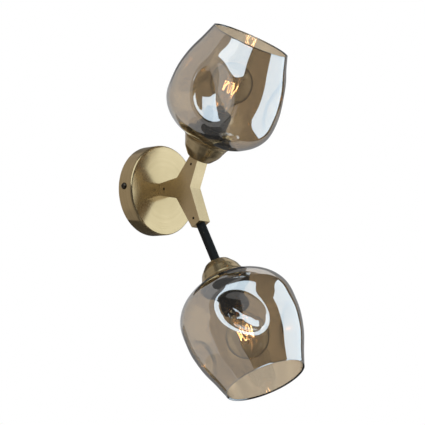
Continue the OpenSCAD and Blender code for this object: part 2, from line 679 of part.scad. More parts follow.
// The tool's side stands skin outside the glass's own surface
module dent_tools(turn, skin) {
    end = acos((dent_bow_r - dent_round_r) / (dent_bow_r + skin));
    for (k = [0 : dent_count - 1]) rotate([0, 0, turn + 360 * k / dent_count])
        translate([dent_face_r, 0, dent_h]) rotate([0, -dent_lean, 0])
            translate([dent_round_r - dent_depth, 0, 0]) rotate([dent_slant, 0, 0])
                rotate_extrude()
                    polygon(arc([dent_round_r - dent_bow_r, 0], dent_bow_r + skin, -end, end, 16));
}
module shade(i) color("tan", 0.5) translate([0, 0, seat_z]) difference() {
    side = shade_side();
    difference() {
        rotate_extrude($fn = 96) polygon(concat([[0, 0]], side, [[0, shade_h]]));
        dent_tools(lamp_turn[i], 0);
    }
    difference() {
        inside = [for (p = beside(side, shade_wall)) if (p[1] > shade_seat_t) p];
        top = inside[len(inside) - 1];
        rotate_extrude($fn = 96) polygon(concat(
            [[0, shade_seat_t], [inside[0][0], shade_seat_t]], inside,
            [[top[0] - over / 2, shade_h + over], [0, shade_h + over]]));
        dent_tools(lamp_turn[i], shade_wall);
    }
    translate([0, 0, -over]) cylinder(r = shade_hole_r, h = shade_seat_t + 2 * over);
}

// Bulb: glass globe, screw cap, insulator, tip, stem, filament and its supports
module bulb_glass() color("white", 0.3) {
    neck_z = cap_top - collar_h / 2;
    low = asin(0.62);
    outside = smooth([[neck_r, neck_z], [neck_r, cap_top], [neck_r + 1.2 * bulb_wall, cap_top + collar_h],
                      [bulb_r * cos(low + 12), bulb_mid - bulb_r * sin(low + 12)],
                      [bulb_r * cos(low), bulb_mid - bulb_r * sin(low)]], profile_steps);
    globe = arc([0, bulb_mid], bulb_r, -low, 90, 24);
    skin = concat([for (k = [0 : len(outside) - 2]) outside[k]], globe);
    inner_globe = arc([0, bulb_mid], bulb_r - bulb_wall, -low, 90, 24);
    inner = concat([for (k = [0 : len(outside) - 2]) beside(outside, bulb_wall)[k]], inner_globe);
    rotate_extrude() polygon(concat(skin, reversed(inner)));
}
module bulb_cap() color("silver") {
    root_r = cap_d / 2 - cap_thread_h;
    turns = floor((cap_top - collar_h - cap_z) / cap_pitch);
    crests = [for (k = [0 : turns - 1], step = [0, 1])
        [root_r + step * cap_thread_h, cap_z + cap_pitch * (0.25 + k + step / 2)]];
    skin = concat([[insulator_r, cap_z], [root_r, cap_z]], crests,
                  [[root_r, cap_top - collar_h], [collar_d / 2, cap_top - collar_h / 2],
                   [collar_d / 2, cap_top]]);
    rotate_extrude() polygon(concat(skin,
        [[neck_r + slide_gap, cap_top], [neck_r + slide_gap, cap_top - collar_h / 2 - slide_gap],
         [root_r - cap_wall, cap_top - collar_h - cap_wall], [root_r - cap_wall, cap_z + cap_wall],
         [insulator_r, cap_z + cap_wall]]));
}
module bulb_insulator() color("black") rotate_extrude() polygon(
    [[0, tip_z + tip_h], [tip_r, tip_z + tip_h], [insulator_r - slide_gap, cap_z],
     [insulator_r - slide_gap, cap_z + cap_wall], [0, cap_z + cap_wall]]);
module bulb_tip() color("silver") rotate_extrude() polygon(concat(
    [[0, tip_z]], arc([0, tip_z + tip_curve_r], tip_curve_r, 6 - 90, 48 - 90, 4),
    [[tip_r, tip_z + tip_h], [0, tip_z + tip_h]]));
module bulb_stem() color("white", 0.5) {
    flare_top = stem_foot + 4 * stem_base_h;
    side = smooth([[neck_r - bulb_wall - seat_gap, stem_foot], [stem_base_r, stem_foot + stem_base_h],
                   [stem_r * stem_flare_share, stem_foot + 2 * stem_base_h], [stem_r, flare_top]],
                  profile_steps);
    rotate_extrude() polygon(concat([[0, stem_foot]], side, [[0, flare_top]]));
    translate([0, 0, flare_top]) cylinder(r = stem_r / 2, h = stem_top - flare_top);
    translate([0, 0, stem_top - hook_disc_h]) cylinder(r = hook_disc_r, h = hook_disc_h);
}
// The filament goes up and down round the stem; hooks hold its upper turns, two wires feed its ends
function cage_point(k, r) = let (a = cage_turn * k / (2 * hairpins))
    [r * cos(a), r * sin(a), k % 2 == 1 ? cage_top : cage_bottom];
module filament() color("orange")
    wire(smooth([for (k = [0 : 2 * hairpins]) cage_point(k, cage_d / 2)], profile_steps),
         filament_d / 2, wire_sides);
module supports() color("gray") {
    lift = [0, 0, filament_d / 2 + support_r + slide_gap];
    for (k = [1 : 2 : 2 * hairpins])
        wire([cage_point(k, hook_disc_r + slide_gap), cage_point(k, cage_d / 2) + lift],
             support_r, wire_sides);
    for (k = [0, 2 * hairpins]) {
        from = cage_point(k, stem_r + support_r + seat_gap);
        wire([[from[0], from[1], stem_foot + 3 * stem_base_h], cage_point(k, cage_d / 2) - lift],
             support_r, wire_sides);
    }
}

wall_bracket();
canopy();
canopy_screws();
canopy_tube();
canopy_nut();
canopy_washer();
terminal_block();
terminal_screws();
block_fixing_screw();
earth_screw();
canopy_leads();
arm_bracket();
grub_screws();
bracket_leads();
upper_tube();
lower_rod();
for (i = [0, 1]) {
    lamp_frame(i) cup();
    lamp_frame(i) cup_nut();
    lamp_frame(i) holder_base();
    lamp_frame(i) holder_skirt();
    lamp_frame(i) holder_core();
    lamp_frame(i) screw_sleeve();
    lamp_frame(i) contact();
    lamp_frame(i) terminals();
    lamp_frame(i) retaining_ring();
    lamp_frame(i) shade(i);
    lamp_frame(i) lamp_leads(i);
    lamp_frame(i) bulb_glass();
    lamp_frame(i) bulb_cap();
    lamp_frame(i) bulb_insulator();
    lamp_frame(i) bulb_tip();
    lamp_frame(i) bulb_stem();
    lamp_frame(i) filament();
    lamp_frame(i) supports();
}
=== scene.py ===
import math

import bmesh
import bpy
from mathutils import Matrix, Vector


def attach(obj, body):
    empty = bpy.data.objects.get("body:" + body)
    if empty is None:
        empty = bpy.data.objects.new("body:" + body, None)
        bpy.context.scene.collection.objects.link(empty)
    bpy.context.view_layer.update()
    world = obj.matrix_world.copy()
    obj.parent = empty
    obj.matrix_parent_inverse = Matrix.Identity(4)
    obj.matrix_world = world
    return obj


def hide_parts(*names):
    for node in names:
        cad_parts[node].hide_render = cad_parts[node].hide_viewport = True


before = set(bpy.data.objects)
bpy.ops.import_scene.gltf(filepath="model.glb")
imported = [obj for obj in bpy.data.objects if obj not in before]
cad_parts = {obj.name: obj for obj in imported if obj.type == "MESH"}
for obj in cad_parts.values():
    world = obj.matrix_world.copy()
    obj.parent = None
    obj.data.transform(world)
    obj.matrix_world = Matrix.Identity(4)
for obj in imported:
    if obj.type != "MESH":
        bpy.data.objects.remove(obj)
scene = bpy.context.scene
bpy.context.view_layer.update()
mm = 0.001
white = (1, 1, 1, 1)
print("frame loaded:", len(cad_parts), "nodes")


def addObject(name, data):
    made = bpy.data.objects.new(name, data)
    scene.collection.objects.link(made)
    return made


# Camera: its place and turn were fitted to the photo's canopy, bracket, cups and mouths
cameraSettings = {
    "place": (-930.469, -999.135, -173.245),
    "right": (0.69415, -0.71928, 0.02826),
    "up": (-0.09904, -0.05655, 0.99347),
    "back": (-0.71299, -0.69242, -0.11049),
    "focalPixels": 1224.56,
    "framePixels": 425,
    "sensor": 36,
    "clip": (0.01, 50),
}


def addCamera(s):
    data = bpy.data.cameras.new("camera")
    data.sensor_width = s["sensor"]
    data.lens = s["sensor"] * s["focalPixels"] / s["framePixels"]
    data.clip_start, data.clip_end = s["clip"]
    camera = addObject("camera", data)
    turn = Matrix((s["right"], s["up"], s["back"])).transposed()
    camera.matrix_world = Matrix.Translation(Vector(s["place"]) * mm) @ turn.to_4x4()
    scene.camera = camera


addCamera(cameraSettings)
scene.view_settings.view_transform = "Standard"
scene.cycles.transparent_max_bounces = 32
print("camera placed")


# Node helpers
def feed(tree, target, inputs):
    for key, value in inputs.items():
        socket = target.inputs[key]
        if isinstance(value, bpy.types.NodeSocket):
            tree.links.new(value, socket)
        else:
            socket.default_value = value


def node(tree, kind, inputs=None, **settings):
    made = tree.nodes.new(kind if "Node" in kind else "ShaderNode" + kind)
    for key, value in settings.items():
        setattr(made, key, value)
    feed(tree, made, inputs or {})
    return made


def result(tree, kind, inputs=None, **settings):
    return node(tree, kind, inputs, **settings).outputs[0]


def math2(tree, operation, a, b=0.0, c=0.0):
    return result(tree, "Math", {0: a, 1: b, 2: c}, operation=operation)


def times(tree, a, b):
    return math2(tree, "MULTIPLY", a, b)


def timesPlus(tree, a, b, c):
    return math2(tree, "MULTIPLY_ADD", a, b, c)


def vector2(tree, operation, a, b=(0, 0, 0)):
    return result(tree, "VectorMath", {0: a, 1: b}, operation=operation)


def fromAxis(tree, place):
    flat = vector2(tree, "MULTIPLY", place, (1, 1, 0))
    return node(tree, "VectorMath", {0: flat}, operation="LENGTH").outputs["Value"]


def startMaterial(name):
    material = bpy.data.materials.new(name)
    material.use_nodes = True
    tree = material.node_tree
    shader = next(n for n in tree.nodes if n.type == "BSDF_PRINCIPLED")
    return material, tree, shader


def showSurface(tree, shown):
    end = next(n for n in tree.nodes if n.type == "OUTPUT_MATERIAL")
    tree.links.new(shown, end.inputs["Surface"])


def objectPlace(tree, centre=(0, 0, 0), turn=(0, 0, 0), scale=(1, 1, 1)):
    coordinates = node(tree, "TexCoord").outputs["Object"]
    return result(tree, "Mapping", {
        "Vector": coordinates, "Location": centre, "Rotation": turn, "Scale": scale,
    }, vector_type="TEXTURE")


def noise(tree, place, scale, detail=3.0, rough=0.5):
    return result(tree, "TexNoise", {
        "Vector": place, "Scale": scale, "Detail": detail, "Roughness": rough})


def between(tree, value, low, high):
    # Noise mostly stays in the middle half of its range
    return result(tree, "MapRange", {
        "Value": value, "From Min": 0.25, "From Max": 0.75, "To Min": low, "To Max": high})


def colourBetween(tree, value, first, second):
    return node(tree, "Mix", {
        "Factor": value, "A": (*first, 1), "B": (*second, 1)}, data_type="RGBA").outputs["Result"]


def bump(tree, shader, height, depth, strength):
    made = result(tree, "Bump", {"Height": height, "Distance": depth, "Strength": strength})
    tree.links.new(made, shader.inputs["Normal"])


# Studio: white behind, two softboxes, dark and grey cards that only reflections see
studio = {
    "centre": (0, -190, -20),
    "rightBox": {"azimuth": 48.44, "elevation": -2.55, "roll": 0.51, "distance": 1100,
                 "sides": (-407, 1000, -766, 1060), "level": 1.75, "colour": (0.72, 0.87, 1.0)},
    "upperBox": {"azimuth": -46.51, "elevation": 40.21, "roll": -5.98, "distance": 1300,
                 "sides": (-848, 584, -746, 809), "level": 1.75, "colour": (0.72, 0.87, 1.0)},
    "cardRadius": 3000,
    "cardColumns": 12,
    "cardRows": 8,
    # Dark cards close behind the canopy: from and to along X, then along Z, all in mm
    "nearCards": [(-36, 150, -70, 4), (40, 150, 4, 60)],
    "nearBehind": 2,
    "nearLevel": 0.06,
    "ambient": 0.25,
}
farCards = [  # azimuth from and to, elevation from and to, level
    (-180, -112, -32, 48, 0.44),
    (-180, -112, 48, 89, 0.10),
    (-180, -112, -50, -32, 0.32),
    (-180, -112, -89, -50, 0.08),
    (-112, -62, -60, 89, 0.24),
    (-112, -62, -89, -60, 0.10),
    (-62, -20, -89, -28, 0.16),
    (-62, -20, -28, 89, 0.035),
    (-20, 98, -89, 89, 0.04),
    (98, 134, -60, 34, 0.30),
    (98, 134, 34, 60, 0.85),
    (98, 134, 60, 89, 0.15),
    (98, 134, -89, -60, 0.10),
    (134, 180, -8, 20, 0.50),
    (134, 165, 20, 60, 0.20),
    (165, 180, 20, 60, 0.45),
    (134, 180, -28, -8, 0.22),
    (134, 180, -89, -28, 0.04),
    (134, 180, 60, 89, 0.15),
]


def direction(azimuth, elevation):
    a, e = math.radians(azimuth), math.radians(elevation)
    return Vector((math.sin(a) * math.cos(e), -math.cos(a) * math.cos(e), math.sin(e)))


def addBox(name, s):
    out = direction(s["azimuth"], s["elevation"])
    across = Vector((0, 0, 1)).cross(out).normalized()
    upward = out.cross(across)
    turned = Matrix.Rotation(math.radians(s["roll"]), 3, out)
    across, upward = turned @ across, turned @ upward
    left, right, low, high = s["sides"]
    middle = Vector(studio["centre"]) + out * s["distance"]
    middle += across * (left + right) / 2 + upward * (low + high) / 2
    data = bpy.data.lights.new(name, "AREA")
    data.shape = "RECTANGLE"
    data.size, data.size_y = (right - left) * mm, (high - low) * mm
    data.energy = s["level"] * math.pi * data.size * data.size_y
    data.color = s["colour"]
    turn = Matrix((across, upward, out)).transposed()
    addObject(name, data).matrix_world = Matrix.Translation(middle * mm) @ turn.to_4x4()


def cardMaterial(name, level):
    material, tree, shader = startMaterial(name)
    tree.nodes.remove(shader)
    glow = result(tree, "Emission", {"Color": white, "Strength": level})
    clear = result(tree, "BsdfTransparent")
    # Light that only came through glass passes the card, mirrored light meets it
    mirrored = math2(tree, "GREATER_THAN", node(tree, "LightPath").outputs["Glossy Depth"], 0.5)
    showSurface(tree, result(tree, "MixShader", {0: mirrored, 1: clear, 2: glow}))
    return material


def stageMesh(name, mesh):
    data = bpy.data.meshes.new(name)
    mesh.to_mesh(data)
    mesh.free()
    return addObject(name, data)


def addCards(s):
    mesh = bmesh.new()
    columns, rows = s["cardColumns"], s["cardRows"]
    for index, (a0, a1, e0, e1, level) in enumerate(farCards):
        grid = [[mesh.verts.new((Vector(s["centre"]) + direction(
            a0 + (a1 - a0) * i / columns, e0 + (e1 - e0) * j / rows) * s["cardRadius"]) * mm)
            for i in range(columns + 1)] for j in range(rows + 1)]
        for j in range(rows):
            for i in range(columns):
                face = mesh.faces.new((grid[j][i], grid[j][i + 1], grid[j + 1][i + 1], grid[j + 1][i]))
                face.material_index = index
    for x0, x1, z0, z1 in s["nearCards"]:
        corners = [(x0, z0), (x1, z0), (x1, z1), (x0, z1)]
        face = mesh.faces.new([mesh.verts.new(Vector((x, s["nearBehind"], z)) * mm) for x, z in corners])
        face.material_index = len(farCards)
    cards = stageMesh("cards", mesh)
    for index, card in enumerate(farCards):
        cards.data.materials.append(cardMaterial("card%d" % index, card[4]))
    cards.data.materials.append(cardMaterial("nearCard", s["nearLevel"]))
    for kind in ("camera", "diffuse", "volume_scatter", "shadow"):
        setattr(cards, "visible_" + kind, False)


def addWorld(s):
    world = bpy.data.worlds.new("world")
    scene.world = world
    world.use_nodes = True
    tree = world.node_tree
    tree.nodes.clear()
    path = node(tree, "LightPath").outputs
    seen = math2(tree, "MAXIMUM", path["Is Camera Ray"], path["Is Glossy Ray"])
    seen = math2(tree, "MAXIMUM", seen, path["Is Transmission Ray"])
    bright = result(tree, "Background", {"Color": white, "Strength": 1.0})
    soft = result(tree, "Background", {"Color": white, "Strength": s["ambient"]})
    mixed = result(tree, "MixShader", {0: seen, 1: soft, 2: bright})
    node(tree, "OutputWorld", {"Surface": mixed})


floorSettings = {"drop": 1000, "size": 6000, "dark": (0.80, 0.80, 0.79), "pale": (0.84, 0.84, 0.83),
                 "grain": 30, "rough": 0.9, "ownLight": 0.55, "fadeFrom": 0.9, "fadeTo": 2.6}


def addFloor(s):
    mesh = bmesh.new()
    bmesh.ops.create_grid(mesh, x_segments=2, y_segments=2, size=s["size"] / 2 * mm)
    floor = stageMesh("floor", mesh)
    floor.data.transform(Matrix.Translation((0, 0, -s["drop"] * mm)))
    material, tree, shader = startMaterial("paleFloor")
    place = objectPlace(tree)
    grain = noise(tree, place, s["grain"])
    feed(tree, shader, {"Base Color": colourBetween(tree, grain, s["dark"], s["pale"]),
                        "Roughness": s["rough"]})
    glow = result(tree, "Emission", {"Color": white, "Strength": 1.0})
    seen = node(tree, "LightPath").outputs["Is Camera Ray"]
    seen = times(tree, seen, s["ownLight"])
    lit = result(tree, "MixShader", {0: seen, 1: shader.outputs[0], 2: glow})
    # The floor fades into the white behind it
    fade = result(tree, "MapRange", {
        "Value": fromAxis(tree, place), "From Min": s["fadeFrom"], "From Max": s["fadeTo"],
    }, interpolation_type="SMOOTHSTEP")
    clear = result(tree, "BsdfTransparent")
    showSurface(tree, result(tree, "MixShader", {0: fade, 1: lit, 2: clear}))
    floor.data.materials.append(material)
    floor.visible_glossy = False
    floor.visible_transmission = False


addBox("rightBox", studio["rightBox"])
addBox("upperBox", studio["upperBox"])
addCards(studio)
addWorld(studio)
addFloor(floorSettings)
print("studio lit")

# Places: the hub is where the three arms meet, and each lamp's frame has +Z along its axis
layout = {
    "hub": (0, -54, 0),
    "upper": {"lean": 31, "cupAt": 36.2},
    "lower": {"lean": 149, "cupAt": 97.6},
}
lampNames = ("upper", "lower")
outOfWall = Matrix.Rotation(math.radians(90), 4, "X")


def lampPlace(lamp):
    turn = Matrix.Rotation(math.radians(layout[lamp]["lean"]), 4, "X")
    return (Matrix.Translation(Vector(layout["hub"]) * mm) @ turn
            @ Matrix.Translation((0, 0, layout[lamp]["cupAt"] * mm)))


# Brushing: detail and roughness of the lines' noise, and the strength of their bump
brushing = {"lines": (4.0, 0.7), "bump": 0.5}

# Spun metal: fine grooves round the axis spread the lights along the profile
spunGrain = {"across": 0.3, "coarse": 480, "cloud": 35, "fineShare": 0.35, "cloudShare": 0.35,
             "coarseShare": 0.3, "depth": 0.000006, "metallic": 0.88, "shine": 0.3, "roughSpread": 0.15}
bronze = {"pale": (0.60, 0.455, 0.26), "dark": (0.40, 0.295, 0.155), "rough": 0.22, "grooves": 1800,
          "spread": 0.75}
spunFinishes = {
    "canopyBrass": {"centre": (0, 0, 0), "turn": 90, "pale": (0.66, 0.48, 0.265),
                    "dark": (0.43, 0.305, 0.145), "rough": 0.19, "grooves": 2600, "spread": 0.6},
    "upperBronze": {"centre": layout["hub"], "turn": layout["upper"]["lean"], **bronze},
    "lowerBronze": {"centre": layout["hub"], "turn": layout["lower"]["lean"], **bronze},
}


def spunMetal(name, s):
    material, tree, shader = startMaterial(name)
    g = spunGrain
    centre = [c * mm for c in s["centre"]]
    turn = math.radians(s["turn"])
    place = objectPlace(tree, centre, (turn, 0, 0))
    line = result(tree, "CombineXYZ", {
        0: times(tree, fromAxis(tree, place), g["across"]),
        1: node(tree, "SeparateXYZ", {0: place}).outputs["Z"]})
    fine = noise(tree, line, s["grooves"], *brushing["lines"])
    coarse = noise(tree, line, g["coarse"], 2.0, 0.6)
    cloud = noise(tree, place, g["cloud"])
    blend = timesPlus(tree, fine, g["fineShare"], times(tree, cloud, g["cloudShare"]))
    blend = timesPlus(tree, coarse, g["coarseShare"], blend)
    # The grooves run round the axis, as seen from each point of the surface
    axis = Matrix.Rotation(turn, 3, "X") @ Vector((0, 0, 1))
    coordinates = node(tree, "TexCoord").outputs["Object"]
    around = vector2(tree, "CROSS_PRODUCT", tuple(axis), vector2(tree, "SUBTRACT", coordinates, centre))
    around = result(tree, "VectorTransform", {0: around}, vector_type="VECTOR",
                    convert_from="OBJECT", convert_to="WORLD")
    low, high = s["rough"] * (1 - g["roughSpread"]), s["rough"] * (1 + g["roughSpread"])
    feed(tree, shader, {
        "Base Color": colourBetween(tree, between(tree, blend, 0.0, 1.0), s["dark"], s["pale"]),
        "Roughness": between(tree, fine, low, high), "Metallic": g["metallic"],
        "Specular IOR Level": g["shine"], "Anisotropic": s["spread"], "Anisotropic Rotation": 0.25,
        "Tangent": vector2(tree, "NORMALIZE", around)})
    bump(tree, shader, fine, g["depth"], brushing["bump"])
    return material


# Brushed metal: lines along the block
brushedFinish = {"stretch": (1, 1, 0.03), "pale": (0.66, 0.475, 0.27), "dark": (0.46, 0.33, 0.16),
                 "rough": 0.26, "roughSpread": 0.15, "lines": 900, "cloud": 45, "lineShare": 0.5,
                 "cloudShare": 0.5, "depth": 0.000006, "metallic": 0.85, "shine": 0.3}


def brushedMetal(name, s):
    material, tree, shader = startMaterial(name)
    fine = noise(tree, objectPlace(tree, scale=s["stretch"]), s["lines"], *brushing["lines"])
    cloud = times(tree, noise(tree, objectPlace(tree), s["cloud"]), s["cloudShare"])
    blend = timesPlus(tree, fine, s["lineShare"], cloud)
    low, high = s["rough"] * (1 - s["roughSpread"]), s["rough"] * (1 + s["roughSpread"])
    feed(tree, shader, {
        "Base Color": colourBetween(tree, between(tree, blend, 0.0, 1.0), s["dark"], s["pale"]),
        "Roughness": between(tree, fine, low, high), "Metallic": s["metallic"],
        "Specular IOR Level": s["shine"]})
    bump(tree, shader, fine, s["depth"], brushing["bump"])
    return material


# Plain metal and moulded pieces: a fine cloud in the colour, the roughness and the surface
metalCloud = {"darker": 0.88, "smoother": 0.85, "rougher": 1.2, "detail": 4.0, "noise": 0.65}
mouldedCloud = {"darker": 0.85, "smoother": 0.9, "rougher": 1.1, "detail": 3.0, "noise": 0.6}
cloudBump = (0.00003, 0.4)
cloudyFinishes = {  # cloud, colour, roughness, grain, one more shader input and its value
    "darkScrew": (metalCloud, (0.10, 0.08, 0.06), 0.35, 260, "Metallic", 1.0),
    "zinc": (metalCloud, (0.62, 0.62, 0.60), 0.38, 260, "Metallic", 1.0),
    "copper": (metalCloud, (0.72, 0.48, 0.24), 0.30, 260, "Metallic", 1.0),
    "supportWire": (metalCloud, (0.45, 0.42, 0.38), 0.35, 260, "Metallic", 1.0),
    "blackSteel": (mouldedCloud, (0.008, 0.008, 0.008), 0.60, 1600, "Specular IOR Level", 0.22),
    "bakelite": (mouldedCloud, (0.010, 0.011, 0.013), 0.28, 500, "Specular IOR Level", 0.6),
    "ceramic": (mouldedCloud, (0.78, 0.76, 0.70), 0.35, 300, "Specular IOR Level", 0.5),
    "blockPlastic": (mouldedCloud, (0.74, 0.72, 0.66), 0.5, 700, "Specular IOR Level", 0.5),
}


def cloudyMaterial(name, s, colour, rough, grain, socket, value):
    material, tree, shader = startMaterial(name)
    cloud = noise(tree, objectPlace(tree), grain, s["detail"], s["noise"])
    dark = tuple(c * s["darker"] for c in colour)
    feed(tree, shader, {
        "Base Color": colourBetween(tree, cloud, dark, colour), socket: value,
        "Roughness": between(tree, cloud, rough * s["smoother"], rough * s["rougher"])})
    bump(tree, shader, cloud, *cloudBump)
    return material


leadFinish = {"blue": (0.03, 0.10, 0.36), "brown": (0.20, 0.09, 0.045), "rough": (0.42, 0.55), "grain": 1200,
              "depth": 0.00002, "strength": 0.3}


def leadMaterial(name, s):
    # The two leads lie on either side of the middle
    material, tree, shader = startMaterial(name)
    place = objectPlace(tree)
    across = node(tree, "SeparateXYZ", {0: place}).outputs["X"]
    side = math2(tree, "GREATER_THAN", across, 0.0)
    grain = noise(tree, place, s["grain"])
    feed(tree, shader, {"Base Color": colourBetween(tree, side, s["blue"], s["brown"]),
                        "Roughness": between(tree, grain, *s["rough"])})
    bump(tree, shader, grain, s["depth"], s["strength"])
    return material


# Glass: the coat is the mirror-like skin, and the lamps shine through in the colour of "lets"
glassFinishes = {
    "amberGlass": {"colour": (0.722, 0.600, 0.438), "coat": 1.0, "coatIor": 4.0, "lets": (0.68, 0.58, 0.47),
                   "cloudy": 0.04},
    "amberInside": {"colour": (0.722, 0.600, 0.438), "coat": 0.25, "coatIor": 4.0,
                    "lets": (0.84, 0.78, 0.70), "cloudy": 0.04},
    "clearGlass": {"colour": (0.99, 0.99, 0.98), "coat": 0.0, "coatIor": 1.5, "lets": (0.97, 0.97, 0.96),
                   "cloudy": 0.0},
}
glassShared = {"ior": 1.5, "coatRough": 0.01, "cloud": (18, 2.0)}


def glassMaterial(name, s):
    material, tree, shader = startMaterial(name)
    cloud = noise(tree, objectPlace(tree), *glassShared["cloud"])
    dark = tuple(c * (1 - s["cloudy"]) for c in s["colour"])
    feed(tree, shader, {
        "Base Color": colourBetween(tree, cloud, dark, s["colour"]), "Transmission Weight": 1.0,
        "Roughness": 0.0, "IOR": glassShared["ior"], "Coat Weight": s["coat"],
        "Coat IOR": s["coatIor"], "Coat Roughness": glassShared["coatRough"]})
    clear = result(tree, "BsdfTransparent", {"Color": (*s["lets"], 1)})
    shadow = node(tree, "LightPath").outputs["Is Shadow Ray"]
    showSurface(tree, result(tree, "MixShader", {0: shadow, 1: shader.outputs[0], 2: clear}))
    return material


glowFinish = {"bright": 130.0, "dim": 7.0, "from": 88.5, "to": 95, "flicker": (0.8, 1.2), "grain": 400,
              "low": (1.0, 0.60, 0.30), "high": (1.0, 0.90, 0.72), "wire": (0.25, 0.18, 0.12, 1),
              "rough": 0.5}


def glowMaterial(name, lamp, s):
    # The wire glows most along the top of its zig-zag
    material, tree, shader = startMaterial(name)
    cupAt = layout[lamp]["cupAt"]
    hub = [c * mm for c in layout["hub"]]
    place = objectPlace(tree, hub, (math.radians(layout[lamp]["lean"]), 0, 0))
    height = node(tree, "SeparateXYZ", {0: place}).outputs["Z"]
    share = result(tree, "MapRange", {
        "Value": height, "From Min": (cupAt + s["from"]) * mm, "From Max": (cupAt + s["to"]) * mm,
    }, interpolation_type="SMOOTHSTEP")
    cloud = noise(tree, place, s["grain"], 2.0)
    share = times(tree, share, between(tree, cloud, *s["flicker"]))
    feed(tree, shader, {
        "Base Color": s["wire"], "Roughness": s["rough"],
        "Emission Color": colourBetween(tree, share, s["low"], s["high"]),
        "Emission Strength": timesPlus(tree, share, s["bright"] - s["dim"], s["dim"])})
    return material


materials = {"bracketBrass": brushedMetal("bracketBrass", brushedFinish),
             "leadPlastic": leadMaterial("leadPlastic", leadFinish)}
materials.update({name: spunMetal(name, s) for name, s in spunFinishes.items()})
materials.update({name: cloudyMaterial(name, *s) for name, s in cloudyFinishes.items()})
materials.update({name: glassMaterial(name, s) for name, s in glassFinishes.items()})
materials.update({lamp + "Glow": glowMaterial(lamp + "Glow", lamp, glowFinish) for lamp in lampNames})

# Every node that isn't named here is zinc plated
nodeFinishes = {
    "canopy": "canopyBrass", "canopy_screws": "darkScrew", "terminal_block": "blockPlastic",
    "earth_screw": "copper", "canopy_leads": "leadPlastic", "arm_bracket": "bracketBrass",
    "grub_screws": "darkScrew", "bracket_leads": "leadPlastic", "lower_rod": "blackSteel",
}
lampFinishes = {
    "holder_base": "bakelite", "holder_skirt": "bakelite", "holder_core": "ceramic",
    "screw_sleeve": "copper", "contact": "copper", "terminals": "copper", "ring": "bakelite",
    "shade": "amberGlass", "leads": "leadPlastic", "bulb_glass": "clearGlass", "bulb_cap": "copper",
    "bulb_insulator": "ceramic", "bulb_stem": "clearGlass", "supports": "supportWire",
}
for lamp in lampNames:
    nodeFinishes[lamp + "_cup"] = lamp + "Bronze"
    nodeFinishes[lamp + "_filament"] = lamp + "Glow"
    for piece, finish in lampFinishes.items():
        nodeFinishes[lamp + "_" + piece] = finish
for name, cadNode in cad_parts.items():
    material = materials[nodeFinishes.get(name, "zinc")]
    for slot in cadNode.material_slots:
        slot.material = material
    if not cadNode.material_slots:
        cadNode.data.materials.append(material)
print("materials on", len(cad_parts), "nodes")


# Mesh helpers
def smoothCurve(points, steps):
    points = [Vector(p) for p in points]
    curve = []
    for i in range(len(points) - 1):
        a, b = points[max(i - 1, 0)], points[i]
        c, d = points[i + 1], points[min(i + 2, len(points) - 1)]
        for k in range(steps):
            t = k / steps
            curve.append(b + (c - a) * t / 2 + (2 * a - 5 * b + 4 * c - d) * t * t / 2
                         + (3 * b - a - 3 * c + d) * t ** 3 / 2)
    return curve + [points[-1]]


def inward(curve, wall):
    made = []
    for i, p in enumerate(curve):
        along = (curve[min(i + 1, len(curve) - 1)] - curve[max(i - 1, 0)]).normalized()
        made.append(p + Vector((-along.y, along.x)) * wall)
    return made


def evenly(points, step):
    made = [Vector(points[0])]
    for a, b in zip(points, points[1:]):
        a, b = Vector(a), Vector(b)
        count = max(1, round((b - a).length / step))
        made += [a + (b - a) * k / count for k in range(1, count + 1)]
    return made


def quarter(x, y, r, start, end, steps=8):
    return [(x + r * math.cos(a), y + r * math.sin(a))
            for a in (math.radians(start + (end - start) * k / steps) for k in range(steps + 1))]


def filleted(corners, steps):
    # Corners are (across, along, fillet); a fillet of 0 keeps the corner sharp
    made = []
    count = len(corners)
    for i, (x, y, fillet) in enumerate(corners):
        here = Vector((x, y))
        if fillet <= 0:
            made.append(here)
            continue
        before = (Vector(corners[i - 1][:2]) - here).normalized()
        after = (Vector(corners[(i + 1) % count][:2]) - here).normalized()
        for k in range(steps + 1):
            t = k / steps
            made.append(here + before * fillet * (1 - t) ** 2 + after * fillet * t ** 2)
    return made


def spin(profile, segments, closed=True):
    # Profile points are (radius, height), outer side upwards and then down the inside
    rows, faces, verts = [], [], []
    for r, z in profile:
        if r < 1e-6:
            rows.append([len(verts)])
            verts.append(Vector((0, 0, z)))
        else:
            rows.append(list(range(len(verts), len(verts) + segments)))
            verts += [Vector((r * math.cos(a), r * math.sin(a), z))
                      for a in (2 * math.pi * k / segments for k in range(segments))]
    pairs = list(zip(rows, rows[1:])) + ([(rows[-1], rows[0])] if closed else [])
    for low, high in pairs:
        a, b = len(low), len(high)
        for k in range(segments):
            n = (k + 1) % segments
            corners = dict.fromkeys((low[k % a], low[n % a], high[n % b], high[k % b]))
            if len(corners) > 2:
                faces.append(tuple(corners))
    return verts, faces


def plainData(name, verts, faces):
    data = bpy.data.meshes.new(name)
    data.from_pydata([v * mm for v in verts], [], faces)
    return data


def faceOutward(data, merge):
    mesh = bmesh.new()
    mesh.from_mesh(data)
    if merge:
        bmesh.ops.remove_doubles(mesh, verts=mesh.verts, dist=1e-7)
    bmesh.ops.recalc_face_normals(mesh, faces=mesh.faces)
    mesh.to_mesh(data)
    mesh.free()


def finishMesh(piece, place, angle):
    faceOutward(piece.data, True)
    piece.data.transform(place)
    for face in piece.data.polygons:
        face.use_smooth = True
    if angle < 180:
        piece.data.set_sharp_from_angle(angle=math.radians(angle))


def addMesh(name, verts, faces, material, place=Matrix(), angle=35):
    data = plainData(name, verts, faces)
    data.materials.append(material)
    piece = addObject(name, data)
    finishMesh(piece, place, angle)
    return piece


def takeResult(piece):
    graph = bpy.context.evaluated_depsgraph_get()
    plain = bpy.data.meshes.new_from_object(piece.evaluated_get(graph))
    piece.modifiers.clear()
    old = piece.data
    piece.data = plain
    bpy.data.meshes.remove(old)


